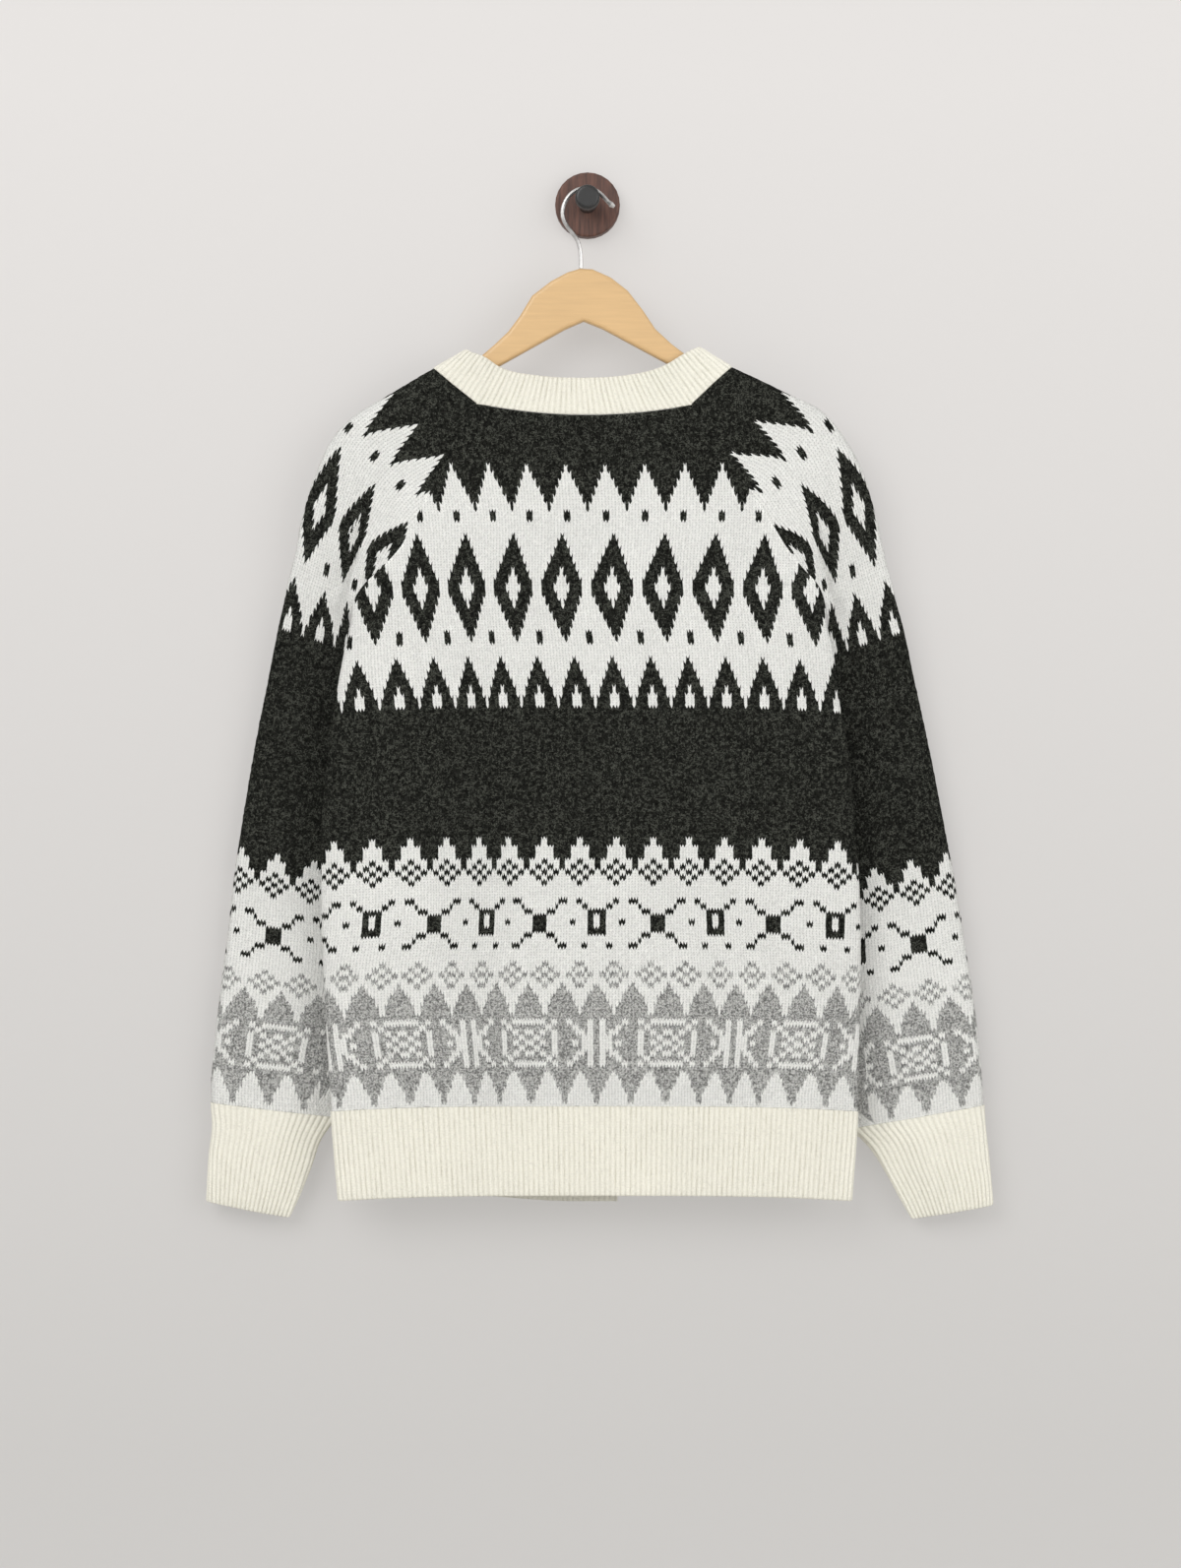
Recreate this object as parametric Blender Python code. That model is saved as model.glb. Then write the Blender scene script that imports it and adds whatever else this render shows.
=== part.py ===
"""Fair isle cardigan with raglan sleeves, hung on a wooden hanger from a wall peg.

Run with: blender --background --python part.py

Lengths in the tables are millimetres and are turned into metres when a mesh is made. The origin is
the centre of the peg disc's back face, on the wall. +X is to the right as one faces the wall, +Z is
up, and the wall is the plane y = 0, so everything lies at negative y. The garment's back faces the
room. Its left and right are the wearer's, which are also those of someone facing the wall.
"""
import math
from collections import namedtuple

import bmesh
import bpy
import numpy as np
from mathutils import Matrix

MM = 0.001

# Cloth
WALL = 2.4                  # thickness of the knitted fabric
SLEEVE_WALL = 1.2           # and of the sleeves, whose folds are tight
SEAM_GAP = 0.3              # gap between two pieces at a seam
HALF_GAP = SEAM_GAP / 2
RIB_PITCH = 4.05            # one knit and one purl column of the 1 x 1 rib
RIB_RISE = 0.7              # knit columns stand this far above the purl ones
RIB_INNER_STEP = 8          # the plain inside of a rib has one column for this many outside
BENT_INNER_STEP = 4         # the same on the cuffs, which bend round their folds
NECK_INNER_STEP = 2         # and on the neckband, whose seam has corners
NECK_GAP = 1.1              # the neckband stays this far off that seam, so that it clears the corners

# Body
HEM_SEAM_Z = -719.0         # height of the seam between panels and hem rib
HEM_HEIGHT = 71.0
UNDERARM_UP = 393.0         # underarm, measured up from the hem seam
NECK_UP = 555.4             # back raglan seam's top end, measured up from the hem seam
BODY_SQUARENESS = 2.6       # exponent of the flattened ring: 2 is an ellipse
SIDE_BEND = -8.0            # the side folds stand this far forward of the middle plane
HEM_SAG = 4.5               # the hem hangs lower at its side folds
NECK_DIP = 8.4              # the back neck seam is lower in its middle
NECK_DIP_FROM_UP = 490.0
NECK_HALF_WIDTH = 86.0

# Front edges: the right front laps over the left one
BAND_LEFT_X = -10.0
BAND_RIGHT_X = 24.0
BAND_MIDDLE_X = (BAND_LEFT_X + BAND_RIGHT_X) / 2
BAND_RIBS = 8
LAP_DEPTH = 3.4
LAP_RUN = 45.0              # the right front rises to its lap over this width
LEFT_FRONT_DROP = 7.0       # the left front edge hangs below the back hem
RIGHT_FRONT_DROP = 1.5
DROP_RUN = 115.0
FRONT_NECK_Z = -226.5       # the front neck seam at the bands
BAND_BELOW_NECK = 8.0       # a band's last row but one lies at least this far below that seam

# Buttons
BUTTON_COUNT = 7
BUTTON_RADIUS = 9.0
BUTTON_THICKNESS = 3.2
BUTTON_TOP_Z = -242.0
BUTTON_BOTTOM_Z = -768.0

# Hanger, hook and peg
HANGER_MIDDLE_Y = -40.0
HANGER_THICKNESS = 10.0
HANGER_EDGE_RADIUS = 3.0
WIRE_RADIUS = 1.65
HOOK_BALL_RADIUS = 2.4
DISC_RADIUS = 26.0
DISC_THICKNESS = 14.0
DISC_EDGE = 2.0
STEM_RADIUS = 7.2
KNOB_RADIUS = 9.8
KNOB_BACK_Y = -45.0
KNOB_FRONT_Y = -58.0
KNOB_EDGE = 2.5

# Flattened rings of the body. up: height above the hem seam. left, right: side folds, or above the
# underarm how far the back's curve would reach. back, front: depth each way from the middle plane.
BodyRow = namedtuple("BodyRow", "up left right back front middle")
BODY = [
    BodyRow(-72, -197, 209, 16, 15, -43),
    BodyRow(0, -203, 214, 18, 17, -43),
    BodyRow(83, -208, 216, 20, 18, -43),
    BodyRow(167, -211, 216, 21, 19, -43),
    BodyRow(226, -211, 212, 21, 18, -43),
    BodyRow(286, -205, 207, 20, 16, -43),
    BodyRow(330, -199, 199, 18, 14, -43),
    BodyRow(369, -192, 194, 16, 13, -43),
    BodyRow(393, -187, 189, 14, 12, -43),
    BodyRow(416, -194, 197, 13, 12, -42.5),
    BodyRow(440, -215, 218, 12, 11, -42),
    BodyRow(466, -245, 248, 11, 11, -41),
    BodyRow(502, -290, 290, 10.5, 10, -40.5),
    BodyRow(560, -350, 350, 10.5, 10, -40),
]

# Raglan seams, from the underarm to the neck. z: height. left, right: the seam's place.
RaglanRow = namedtuple("RaglanRow", "z left right")
RAGLAN = [
    RaglanRow(-326, -187.0, 189.0),
    RaglanRow(-317, -185.5, 188.0),
    RaglanRow(-303, -176.5, 182.0),
    RaglanRow(-292, -163.5, 171.0),
    RaglanRow(-277, -149.0, 158.5),
    RaglanRow(-253, -136.0, 143.5),
    RaglanRow(-218, -117.0, 120.0),
    RaglanRow(-186, -99.5, 98.5),
    RaglanRow(-163, -88.0, 82.5),
]

# The front neck seam, from the bands up to the front raglan seams.
NecklineRow = namedtuple("NecklineRow", "z left right")
FRONT_NECKLINE = [
    NecklineRow(-226.5, -10.0, 24.0),
    NecklineRow(-224.5, -26.0, 36.0),
    NecklineRow(-219.0, -48.0, 54.0),
    NecklineRow(-208.0, -72.0, 75.0),
    NecklineRow(-197.0, -88.0, 88.5),
    NecklineRow(-187.0, -97.6, 96.8),
]

# Sleeve courses below the underarm, each a closed flattened ring on a straight line from its outer
# fold to its inner one, which lies behind the body. course: distance knitted up from the cuff seam.
# out, out_z and inn, inn_z: the two folds. face, seam: where the flat back starts, and the underarm
# seam. Distances out from x = 0 are positive on both sides.
TubeRow = namedtuple("TubeRow", "course out out_z face seam inn inn_z")
LEFT_TUBE = [
    TubeRow(-78, 304.5, -798, 262, 246, 231, -813),
    TubeRow(-60, 303.5, -781, 256, 240, 224, -795),
    TubeRow(-38, 302, -759, 249, 233, 216, -771),
    TubeRow(-16, 299.5, -737, 243, 226, 208.5, -748),
    TubeRow(0, 301, -719, 236, 218, 199, -731),
    TubeRow(52, 298, -667, 230, 212, 190, -680),
    TubeRow(103, 292.5, -620, 222, 203, 180, -632),
    TubeRow(145, 287.5, -581, 217, 196, 172, -595.5),
    TubeRow(186, 283, -539, 213, 188, 165, -558),
    TubeRow(215, 279, -512, 211, 184, 160, -534),
    TubeRow(300, 264.5, -426, 204, 176, 150, -454),
    TubeRow(350, 254.5, -377, 205, 182, 160, -409),
    TubeRow(387, 246.5, -338, 206, 189, 186, -358.5),
    TubeRow(405, 242, -319, 207, 188.6, 186, -339),
    TubeRow(420, 239, -304, 205, 188.4, 186, -329),
]
RIGHT_TUBE = [
    TubeRow(-78, 324, -801, 286, 270, 254, -813.5),
    TubeRow(-60, 322.5, -783, 279, 263, 246, -797),
    TubeRow(-38, 320.5, -761, 270, 253, 235.5, -776.5),
    TubeRow(-16, 318, -738, 260, 242, 223, -754),
    TubeRow(0, 317, -721, 248, 230, 210, -739.8),
    TubeRow(52, 313.5, -674, 242, 223, 202, -692),
    TubeRow(103, 307.5, -627, 233, 213, 192, -641.5),
    TubeRow(145, 301, -586, 227, 206, 184, -604),
    TubeRow(186, 294.5, -544, 221, 198, 177, -564.5),
    TubeRow(215, 289, -516, 216, 192, 172, -541.5),
    TubeRow(300, 272, -429, 206, 179, 156, -457),
    TubeRow(350, 261, -380, 207, 184, 163, -413),
    TubeRow(387, 252.5, -341, 208, 190.5, 187.5, -362.5),
    TubeRow(405, 247, -322, 209, 190.6, 188, -343),
    TubeRow(420, 243.5, -307, 207, 190.4, 188, -329),
]

# Sleeve courses of the cap, between the back and front raglan seams. lip, lip_z: where the cloth by
# the seam steps back to the arm in a soft crease. seam_z, front_seam_z: heights on the two seams.
CapRow = namedtuple("CapRow", "course out out_z lip lip_z seam_z front_seam_z")
LEFT_CAP = [
    CapRow(432, 235.5, -290.5, 190, -312, -315, -315),
    CapRow(444, 232, -277, 187.5, -302, -306, -306),
    CapRow(460, 229, -260, 182, -288, -300, -302),
    CapRow(480, 223, -238, 179, -270, -288.5, -291),
    CapRow(500, 214.5, -214, 175, -249, -276, -279),
    CapRow(521, 203.5, -191, 167, -231, -262, -267),
    CapRow(542, 189, -175, 160, -206, -241, -251),
    CapRow(576, 158, -155.5, 138, -180, -210, -224),
    CapRow(621, 122.5, -134.5, 108, -147, -163, -187),
]
RIGHT_CAP = [
    CapRow(432, 239.5, -293, 192, -312, -315, -315),
    CapRow(444, 236, -279, 189.5, -302, -306, -306),
    CapRow(460, 232, -261, 184, -288, -300, -302),
    CapRow(480, 226, -238, 180.5, -270, -289, -291),
    CapRow(500, 218, -214, 176, -249, -274, -279),
    CapRow(521, 206.5, -193, 168, -231, -257, -267),
    CapRow(542, 190.5, -172, 159, -204, -238, -251),
    CapRow(576, 158, -154, 136, -178, -208, -224),
    CapRow(621, 115, -133.5, 101, -146, -163.4, -187),
]

# Depths of a sleeve, by course. edge: the outer fold's middle. back, front: outer faces towards the
# room and the wall. seam: the underarm seam. sheet: the cloth between raglan seam and crease.
DepthRow = namedtuple("DepthRow", "course edge back front seam sheet")
SLEEVE_DEPTHS = [
    DepthRow(-78, -18, -27, -9, -22, -21),
    DepthRow(0, -18, -28, -8, -25, -24),
    DepthRow(103, -17.5, -27.5, -7.5, -27, -26),
    DepthRow(300, -18, -28, -8, -29, -28),
    DepthRow(350, -20, -29, -9, -36, -36),
    DepthRow(387, -23, -31.5, -11, -41, -43),
    DepthRow(405, -25.5, -33.5, -13, -45, -48),
    DepthRow(420, -27.5, -35.5, -15, -51, -51),
    DepthRow(432, -29.5, -37.3, -17, -51, -53),
    DepthRow(440, -30.5, -38.5, -18, -51, -54.5),
    DepthRow(460, -33, -41, -21, -51, -54.5),
    DepthRow(480, -35.5, -43.5, -24.5, -51, -54),
    DepthRow(500, -37.5, -46, -28, -51, -53.2),
    DepthRow(521, -39, -48, -30.5, -51, -52),
    DepthRow(542, -40, -49.3, -30.7, -51, -51),
    DepthRow(621, -40, -49.5, -30.5, -51, -50.3),
]

# The neckband's free edge. along: distance along its seam from the left end, which lies under the
# lap, up the left front, across the back and down the right front to the end that laps over.
NeckEdgeRow = namedtuple("NeckEdgeRow", "along x y z")
NECK_EDGE = [
    NeckEdgeRow(0, 24, -31.2, -197),
    NeckEdgeRow(34, -8, -31.2, -196.5),
    NeckEdgeRow(73, -38, -31.2, -190.5),
    NeckEdgeRow(109, -62, -31.0, -178),
    NeckEdgeRow(136, -76, -31.0, -164),
    NeckEdgeRow(163, -88, -31.2, -144),
    NeckEdgeRow(186, -95, -33.5, -126),
    NeckEdgeRow(197, -96, -40, -119.3),
    NeckEdgeRow(209, -92, -47, -121.5),
    NeckEdgeRow(227, -82, -49.5, -125.5),
    NeckEdgeRow(249, -69, -50.3, -134),
    NeckEdgeRow(293, -38, -51.0, -140.8),
    NeckEdgeRow(335, -3, -51.2, -142.5),
    NeckEdgeRow(378, 34, -51.0, -140),
    NeckEdgeRow(421, 62, -50.3, -132),
    NeckEdgeRow(443, 76, -49.5, -123.5),
    NeckEdgeRow(460, 85, -47, -118.8),
    NeckEdgeRow(470, 88.5, -40, -117.3),
    NeckEdgeRow(480, 88, -33.5, -124),
    NeckEdgeRow(503, 82, -31.2, -143),
    NeckEdgeRow(529, 73, -31.0, -163),
    NeckEdgeRow(555, 62, -31.0, -178),
    NeckEdgeRow(587, 44, -30.0, -190.5),
    NeckEdgeRow(617, 20, -27.8, -196.5),
    NeckEdgeRow(651, -10, -27.6, -197),
]

# Outline of the wooden hanger, clockwise from its top middle.
OutlinePoint = namedtuple("OutlinePoint", "x z")
HANGER_OUTLINE = [
    OutlinePoint(-6, -55),
    OutlinePoint(4, -55.5),
    OutlinePoint(18.5, -62),
    OutlinePoint(32, -72.5),
    OutlinePoint(44, -88),
    OutlinePoint(54, -103),
    OutlinePoint(67, -115),
    OutlinePoint(83, -127),
    OutlinePoint(115, -144),
    OutlinePoint(157, -164.5),
    OutlinePoint(176, -176),
    OutlinePoint(182, -183),
    OutlinePoint(181, -191),
    OutlinePoint(174, -195),
    OutlinePoint(63, -130.5),
    OutlinePoint(12, -103),
    OutlinePoint(-3, -97),
    OutlinePoint(-18, -103.5),
    OutlinePoint(-69, -132),
    OutlinePoint(-174, -195.5),
    OutlinePoint(-181, -191.5),
    OutlinePoint(-182, -184),
    OutlinePoint(-176, -177),
    OutlinePoint(-157, -165.5),
    OutlinePoint(-122, -146),
    OutlinePoint(-88, -127.5),
    OutlinePoint(-74, -115.5),
    OutlinePoint(-63, -105),
    OutlinePoint(-54, -93),
    OutlinePoint(-44, -76.5),
    OutlinePoint(-29, -65),
    OutlinePoint(-16, -58),
]

# Centre line of the hook, from the wood up, round the stem and down to its ball end.
HOOK_LINE = [
    OutlinePoint(-5.2, -54.6),
    OutlinePoint(-5.3, -47),
    OutlinePoint(-6.0, -39.5),
    OutlinePoint(-8.2, -32),
    OutlinePoint(-12.8, -25.5),
    OutlinePoint(-17.2, -19.5),
    OutlinePoint(-19.6, -13.5),
    OutlinePoint(-19.6, -7.5),
    OutlinePoint(-17.6, -1.5),
    OutlinePoint(-13.8, 4),
    OutlinePoint(-7.8, 8),
    OutlinePoint(-0.5, 9.2),
    OutlinePoint(6.5, 7.4),
    OutlinePoint(12.4, 2.8),
    OutlinePoint(17, -2.3),
    OutlinePoint(21.4, -5.6),
]


# ---------------------------------------------------------------- curves through tables

def smooth_through(knots, values, at):
    """Values of a smooth curve through (knots, values) at the given places."""
    knots = np.asarray(knots, float)
    values = np.asarray(values, float)
    at = np.clip(np.asarray(at, float), knots[0], knots[-1])
    steps = np.diff(knots)
    shape = (-1,) + (1,) * (values.ndim - 1)
    slopes = np.diff(values, axis=0) / steps.reshape(shape)
    tangents = np.empty_like(values)
    tangents[0] = slopes[0]
    tangents[-1] = slopes[-1]
    before = steps[:-1].reshape(shape)
    after = steps[1:].reshape(shape)
    tangents[1:-1] = (slopes[:-1] * after + slopes[1:] * before) / (before + after)
    span = np.clip(np.searchsorted(knots, at, side="right") - 1, 0, len(steps) - 1)
    width = steps[span]
    f = (at - knots[span]) / width
    flat = at.shape + (1,) * (values.ndim - 1)
    f = f.reshape(flat)
    width = width.reshape(flat)
    start = values[span]
    end = values[span + 1]
    return (start * (2 * f**3 - 3 * f**2 + 1)
            + end * (3 * f**2 - 2 * f**3)
            + tangents[span] * width * (f**3 - 2 * f**2 + f)
            + tangents[span + 1] * width * (f**3 - f**2))


def column(table, name, at):
    """One named column of a table, read at the given values of its first column."""
    knots = [row[0] for row in table]
    values = [getattr(row, name) for row in table]
    if knots[0] > knots[-1]:
        knots = knots[::-1]
        values = values[::-1]
    return smooth_through(knots, values, at)


def ease(f):
    """Smooth step from 0 to 1."""
    f = np.clip(f, 0.0, 1.0)
    return f * f * (3 - 2 * f)


def arc_lengths(points):
    """Distance along a polyline to each of its points."""
    steps = np.linalg.norm(np.diff(points, axis=0), axis=1)
    return np.concatenate([[0.0], np.cumsum(steps)])


# ---------------------------------------------------------------- the body's surface

def signed_power(value, power):
    return np.sign(value) * np.abs(value) ** power


def body_point(up, angle):
    """Outer surface of the body. angle 0 is mid back, a quarter turn either way is a side fold."""
    up, angle = np.broadcast_arrays(np.asarray(up, float), np.asarray(angle, float))
    row_up = up.ravel()
    left, right, back, front, middle = (
        column(BODY, name, row_up).reshape(up.shape)
        for name in ("left", "right", "back", "front", "middle"))
    across = signed_power(np.sin(angle), 2 / BODY_SQUARENESS)
    deep = signed_power(np.cos(angle), 2 / BODY_SQUARENESS)
    x = (left + right) / 2 + (right - left) / 2 * across
    y = middle + SIDE_BEND * across**2 - np.where(deep > 0, back, front) * deep
    z = HEM_SEAM_Z + up - HEM_SAG * across**4
    dip = NECK_DIP * ease((up - NECK_DIP_FROM_UP) / (NECK_UP - NECK_DIP_FROM_UP))
    z = z - np.where(deep > 0, dip * np.clip(1 - (x / NECK_HALF_WIDTH) ** 2, 0, 1), 0)
    return np.stack([x, y, z], axis=-1)


def angle_at(up, x, on_front):
    """The ring angle at which the body's surface has this x."""
    left = column(BODY, "left", np.atleast_1d(up))
    right = column(BODY, "right", np.atleast_1d(up))
    across = np.clip((x - (left + right) / 2) / ((right - left) / 2), -1, 1)
    angle = np.arcsin(signed_power(across, BODY_SQUARENESS / 2))
    if on_front:
        return np.where(angle < 0, -math.pi - angle, math.pi - angle)
    return angle


def body_normal(up, angle):
    """Outward unit normals of the body's surface."""
    up = np.asarray(up, float)
    angle = np.asarray(angle, float)
    rise = body_point(up + 1.0, angle) - body_point(up - 1.0, angle)
    turn = body_point(up, angle + 0.004) - body_point(up, angle - 0.004)
    normal = np.cross(turn, rise)
    return normal / np.linalg.norm(normal, axis=-1, keepdims=True)


def front_depth(x, z):
    """y of the body's front outer surface at (x, z)."""
    up = z - HEM_SEAM_Z
    angle = angle_at(up, x, True)
    return float(body_point(up, angle)[0][1])


def raglan_x(z, side):
    """Where the raglan seam of one side lies at height z."""
    return column(RAGLAN, "left" if side < 0 else "right", np.atleast_1d(z))


def seam_on_body(z, side, on_front):
    """Point and normal of a raglan seam on the body's surface."""
    z = np.atleast_1d(np.asarray(z, float))
    x = raglan_x(z, side)
    up = z - HEM_SEAM_Z
    for _ in range(3):
        angle = angle_at(up, x, on_front)
        up = up + (z - body_point(up, angle)[..., 2])
    angle = angle_at(up, x, on_front)
    return body_point(up, angle), body_normal(up, angle)


# ---------------------------------------------------------------- solids from grids

Sheet = namedtuple("Sheet", "points normals")


def make_material(name, colour, roughness, metallic=0.0):
    material = bpy.data.materials.new(name)
    material.use_nodes = True
    shader = material.node_tree.nodes["Principled BSDF"]
    shader.inputs["Base Color"].default_value = (*colour, 1.0)
    shader.inputs["Roughness"].default_value = roughness
    shader.inputs["Metallic"].default_value = metallic
    return material


def object_from(name, vertices, faces, material):
    """A mesh object from points in millimetres, with its faces turned outwards."""
    mesh = bpy.data.meshes.new(name)
    mesh.from_pydata([tuple(point) for point in np.asarray(vertices) * MM], [], faces)
    tidy = bmesh.new()
    tidy.from_mesh(mesh)
    bmesh.ops.recalc_face_normals(tidy, faces=tidy.faces)
    tidy.to_mesh(mesh)
    tidy.free()
    mesh.materials.append(material)
    obj = bpy.data.objects.new(name, mesh)
    bpy.context.collection.objects.link(obj)
    return obj


def cloth_wall(name, sheet, material, closed_rows=0, relief=None, inner_step=1, wall=WALL):
    """A wall from a grid of outer points, rows going up.

    In the lowest closed_rows rows the last column is the first one again. relief lifts the outer
    points, and the plain inside keeps only every inner_step-th column.
    """
    rows, columns = sheet.points.shape[:2]
    outer = sheet.points
    if relief is not None:
        outer = outer + sheet.normals * relief[..., None]
    inner_columns = list(range(0, columns, inner_step))
    if inner_columns[-1] != columns - 1:
        inner_columns.append(columns - 1)
    inner = sheet.points[:, inner_columns] - sheet.normals[:, inner_columns] * wall
    inner_count = len(inner_columns)
    inner_start = rows * columns
    vertices = np.concatenate([outer.reshape(-1, 3), inner.reshape(-1, 3)])

    def outside(i, j):
        return i * columns + (0 if i < closed_rows and j == columns - 1 else j)

    def inside(i, j):
        return inner_start + i * inner_count + (0 if i < closed_rows and j == inner_count - 1 else j)

    faces = []
    for i in range(rows - 1):
        for j in range(columns - 1):
            faces.append((outside(i, j), outside(i, j + 1), outside(i + 1, j + 1), outside(i + 1, j)))
        for j in range(inner_count - 1):
            faces.append((inside(i, j), inside(i + 1, j), inside(i + 1, j + 1), inside(i, j + 1)))
        if i + 1 >= closed_rows:
            last = inner_count - 1
            faces.append((outside(i, 0), outside(i + 1, 0), inside(i + 1, 0), inside(i, 0)))
            faces.append((outside(i, columns - 1), inside(i, last),
                          inside(i + 1, last), outside(i + 1, columns - 1)))
    for i in (0, rows - 1):
        faces.extend(rim_faces(i, inner_columns, outside, inside))
    return object_from(name, *drop_unused(vertices, faces), material)


def rim_faces(row, inner_columns, outside, inside):
    """Triangles that join a row of outer columns to the sparser inner ones."""
    faces = []
    for k in range(len(inner_columns) - 1):
        start = inner_columns[k]
        end = inner_columns[k + 1]
        half = (start + end + 1) // 2
        for j in range(start, half):
            faces.append((outside(row, j), outside(row, j + 1), inside(row, k)))
        faces.append((outside(row, half), inside(row, k + 1), inside(row, k)))
        for j in range(half, end):
            faces.append((outside(row, j), outside(row, j + 1), inside(row, k + 1)))
    return faces


def drop_unused(vertices, faces):
    """Leave out points that no face uses, and corners that repeat in a face."""
    kept = []
    for face in faces:
        corners = []
        for corner in face:
            if corner not in corners:
                corners.append(corner)
        if len(corners) > 2:
            kept.append(corners)
    used = sorted({corner for face in kept for corner in face})
    place = {corner: index for index, corner in enumerate(used)}
    return vertices[used], [[place[corner] for corner in face] for face in kept]


def rib_relief(rows, columns):
    """Every second column raised, for a 1 x 1 rib."""
    relief = np.zeros((rows, columns))
    relief[:, ::2] = RIB_RISE
    return relief


# ---------------------------------------------------------------- body panels

def front_shift(points, side, up):
    """Move front points for the lap of the right edge and the drop of both."""
    shifted = points.copy()
    from_edge = np.abs(points[..., 0] - BAND_MIDDLE_X) - (BAND_RIGHT_X - BAND_LEFT_X) / 2
    height = np.clip((up + HEM_HEIGHT) / (UNDERARM_UP + HEM_HEIGHT), 0, 1)
    drop = LEFT_FRONT_DROP if side < 0 else RIGHT_FRONT_DROP
    shifted[..., 2] -= drop * ease(1 - np.clip(from_edge, 0, None) / DROP_RUN) * (1 - height)
    if side > 0:
        shifted[..., 1] += LAP_DEPTH * ease(1 - np.clip(from_edge, 0, None) / LAP_RUN)
    return shifted


def body_row(up, start_angle, end_angle, columns, shift=None):
    """Evenly spaced points and normals along one row of the body, short of its seams."""
    angles = np.linspace(start_angle, end_angle, 241)
    points = body_point(up, angles)
    if shift is not None:
        points = shift(points)
    along = arc_lengths(points)
    places = np.linspace(HALF_GAP, along[-1] - HALF_GAP, columns)
    angles = np.interp(places, along, angles)
    points = body_point(up, angles)
    if shift is not None:
        points = shift(points)
    return points, body_normal(np.full(columns, up), angles)


def back_limits(up):
    """Ring angles at which a row of the back ends: side folds, or raglan seams above them."""
    if up <= UNDERARM_UP:
        return -math.pi / 2, math.pi / 2
    z = HEM_SEAM_Z + up
    left = angle_at(up, raglan_x(z, -1), False)[0]
    right = angle_at(up, raglan_x(z, 1), False)[0]
    return left, right


def front_limits(up, side):
    """Ring angles of one front's row, from its side or raglan seam to its band or neckline."""
    z = HEM_SEAM_Z + up
    if up <= UNDERARM_UP:
        outer = side * math.pi / 2
    else:
        outer = angle_at(up, raglan_x(z, side), True)[0]
    name = "left" if side < 0 else "right"
    edge = column(FRONT_NECKLINE, name, np.atleast_1d(z))[0]
    inner = angle_at(up, edge, True)[0]
    if side < 0:
        outer = -abs(outer)
        inner = -(2 * math.pi - inner) if inner > 0 else inner
    else:
        inner = 2 * math.pi + inner if inner < 0 else inner
    return outer, inner


# Heights of the panels' rows above the hem seam, and of the fronts' last rows above their neck.
PANEL_ROWS = (55, 115, 175, 235, 290, 340, 370)
CAP_ROWS = (401, 410, 420, 432, 443, 456, 470, 486, 504, 522)
BACK_LAST_ROW = 538
NECKLINE_RISES = (-4, 0.5, 7, 18, 29, 39)
ROW_SPACING = 4.0           # rows nearer than this below the first neckline row are left out
BACK_COLUMNS = 19
FRONT_COLUMNS = 10


def stack(rows):
    points = np.array([points for points, _ in rows])
    normals = np.array([normals for _, normals in rows])
    return Sheet(points, normals)


def make_back_panel(material):
    """The back, and the points of its neck seam from left to right."""
    ups = [HALF_GAP, *PANEL_ROWS, UNDERARM_UP, *CAP_ROWS, BACK_LAST_ROW, NECK_UP - HALF_GAP]
    sheet = stack([body_row(up, *back_limits(up), BACK_COLUMNS) for up in ups])
    cloth_wall("back_panel", sheet, material)
    return sheet.points[-1]


def make_front(name, side, material):
    """One front, and the points of its neck seam from its band to its raglan seam."""
    neck_ups = [FRONT_NECK_Z - HEM_SEAM_Z + rise for rise in NECKLINE_RISES]
    below = [up for up in CAP_ROWS if up < neck_ups[0] - ROW_SPACING]
    rows = []
    for up in [HALF_GAP, *PANEL_ROWS, UNDERARM_UP, *below, *neck_ups]:
        outer, inner = front_limits(up, side)
        rows.append(body_row(up, outer, inner, FRONT_COLUMNS,
                             lambda points: front_shift(points, side, up)))
    sheet = stack(rows)
    cloth_wall(name, sheet, material)
    band_to_raglan = sheet.points[-len(neck_ups) + 1:, -1]
    return np.concatenate([band_to_raglan, sheet.points[-1:, 0]])


def rib_columns(length):
    """An even number of half ribs that fits a length, and one more point to end on."""
    return 2 * round(length / RIB_PITCH) + 1


def make_back_hem(material):
    columns = rib_columns(arc_lengths(body_point(0.0, np.linspace(-math.pi / 2, math.pi / 2, 99)))[-1])
    rows = [body_row(up, *back_limits(up), columns) for up in (-HEM_HEIGHT, -HALF_GAP)]
    sheet = stack(rows)
    cloth_wall("back_hem", sheet, material, 0, rib_relief(2, columns), RIB_INNER_STEP)


def make_front_hem(name, side, material):
    outer, inner = front_limits(0.0, side)
    columns = rib_columns(arc_lengths(body_point(0.0, np.linspace(outer, inner, 99)))[-1])
    rows = []
    for up in (-HEM_HEIGHT, -HALF_GAP):
        outer, inner = front_limits(up, side)
        rows.append(body_row(up, outer, inner, columns, lambda points: front_shift(points, side, up)))
    cloth_wall(name, stack(rows), material, 0, rib_relief(2, columns), RIB_INNER_STEP)


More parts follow.
